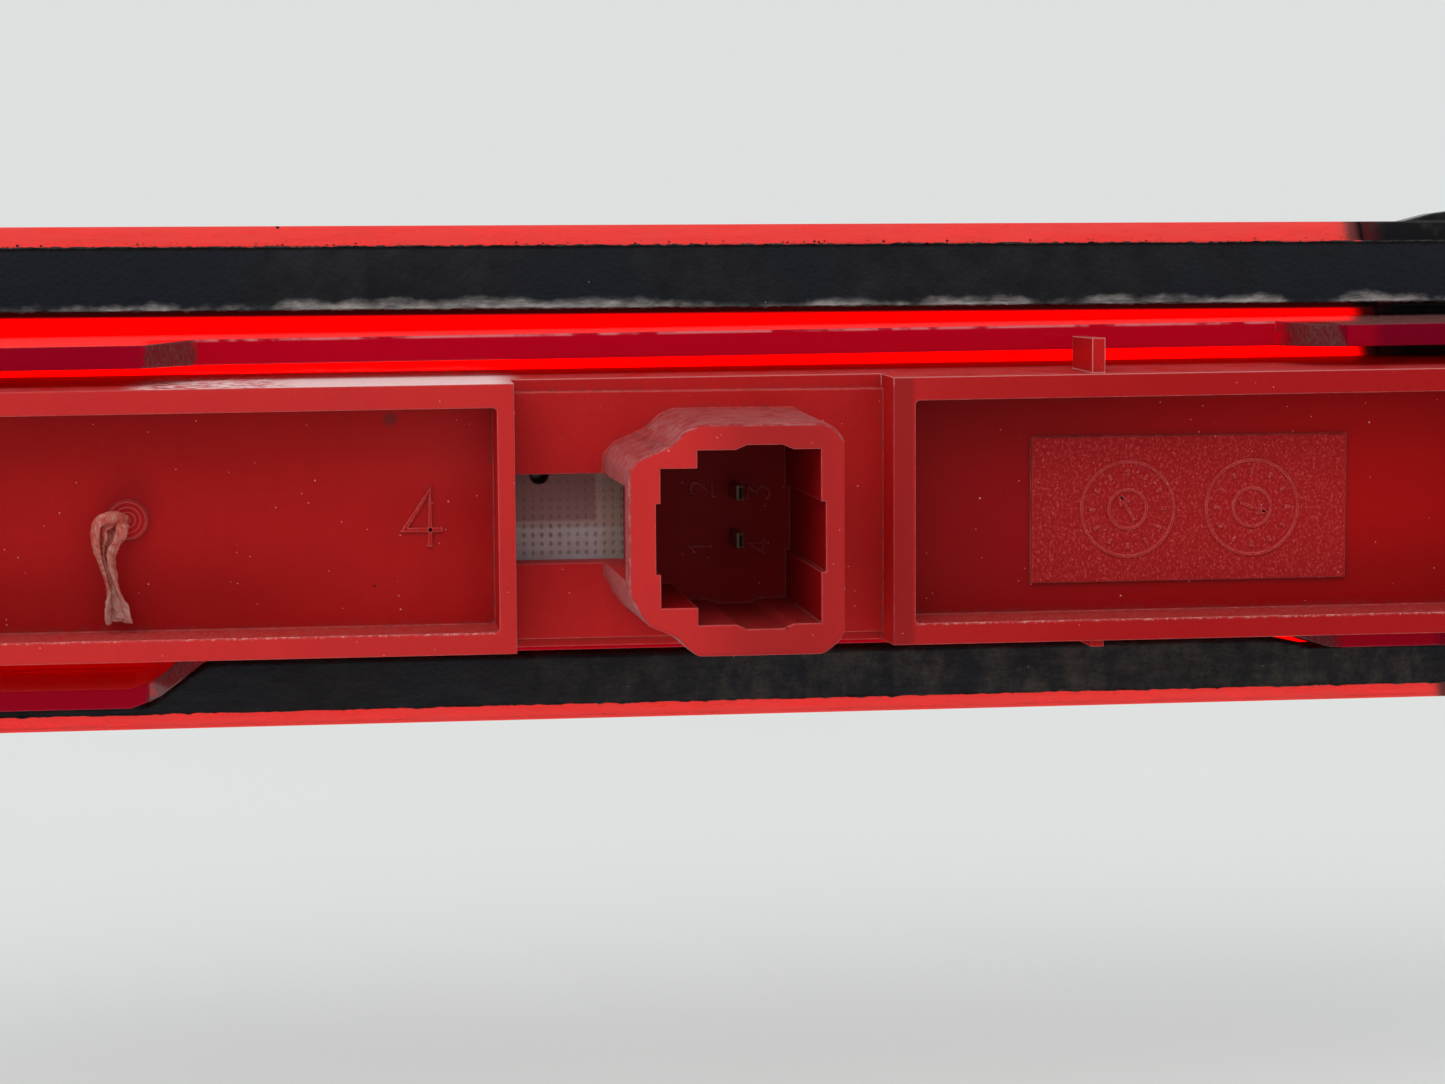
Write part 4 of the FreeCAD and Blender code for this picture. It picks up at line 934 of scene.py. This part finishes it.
def add_floor():
    paper = Look("pale_floor")
    pale = paper.mix(paper.noise(0.01, 3.0, 0.5), (0.84, 0.847, 0.84), (0.87, 0.877, 0.87))
    paper.set(Base_Color=pale, Roughness=0.8)
    reach, drop = 4.0, -0.05
    corners = [(-reach, -reach, drop), (reach, -reach, drop), (reach, reach, drop), (-reach, reach, drop)]
    add_sheet("floor", corners, paper.material)


def dress_parts():
    """Materials of the pieces that keep their CAD shape."""
    white = cloudy_look("led_package", (0.80, 0.78, 0.72), (0.70, 0.67, 0.60), 0.3)
    chip = cloudy_look("chip_ceramic", (0.02, 0.02, 0.022), (0.05, 0.045, 0.045), 0.4)
    brown = cloudy_look("capacitor_ceramic", (0.36, 0.25, 0.15), (0.28, 0.19, 0.12), 0.45)
    solder = metal_look("solder", (0.72, 0.72, 0.72), (0.5, 0.5, 0.5), 0.2)
    mirror = metal_look("reflector_metal", (0.86, 0.86, 0.86), (0.80, 0.80, 0.80), 0.08, 0.4)
    dress(lens_look(), "lens")
    dress(trim_look(), "lens_end_left", "lens_end_right")
    dress(adhesive_look(), "gasket_adhesive")
    dress(housing_look(), "rear_housing")
    dress(board_look(), "circuit_board")
    dress(terminal_look(), "terminal_pin_upper", "terminal_pin_lower")
    dress(solder, "solder_joints")
    dress(white, *[f"led_{number:02d}" for number in range(1, 11)])
    dress(mirror, "reflector")
    dress(chip, "protection_diode", *[f"resistor_{number}" for number in range(1, 5)])
    dress(brown, "filter_capacitor")


add_camera()
add_world()
add_light("window", (0.45, 0.70, 0.80), (0.9, 0.7), 4.0)
add_light("room", (-0.5, 0.7, 0.2), (0.6, 0.8), 0.6)
glow = add_light("glow_through_lens", (0.0, -0.075, 0.06), (0.5, 0.22), 0.75, target=(0, 0, 0.06))
glow.visible_diffuse = False
glow.visible_glossy = False
add_dark_cards()
add_floor()

dress_parts()
make_foam(foam_look())
make_gate_string(gate_look())
steel = metal_look("stud_steel", (0.60, 0.60, 0.57), (0.42, 0.41, 0.36), 0.28, 1.2)
add_threaded_stud("threaded_stud_left", "mounting_stud_left", steel)
add_threaded_stud("threaded_stud_right", "mounting_stud_right", steel)
add_markings(housing_look("red_housing_marks", fine_marks=True))
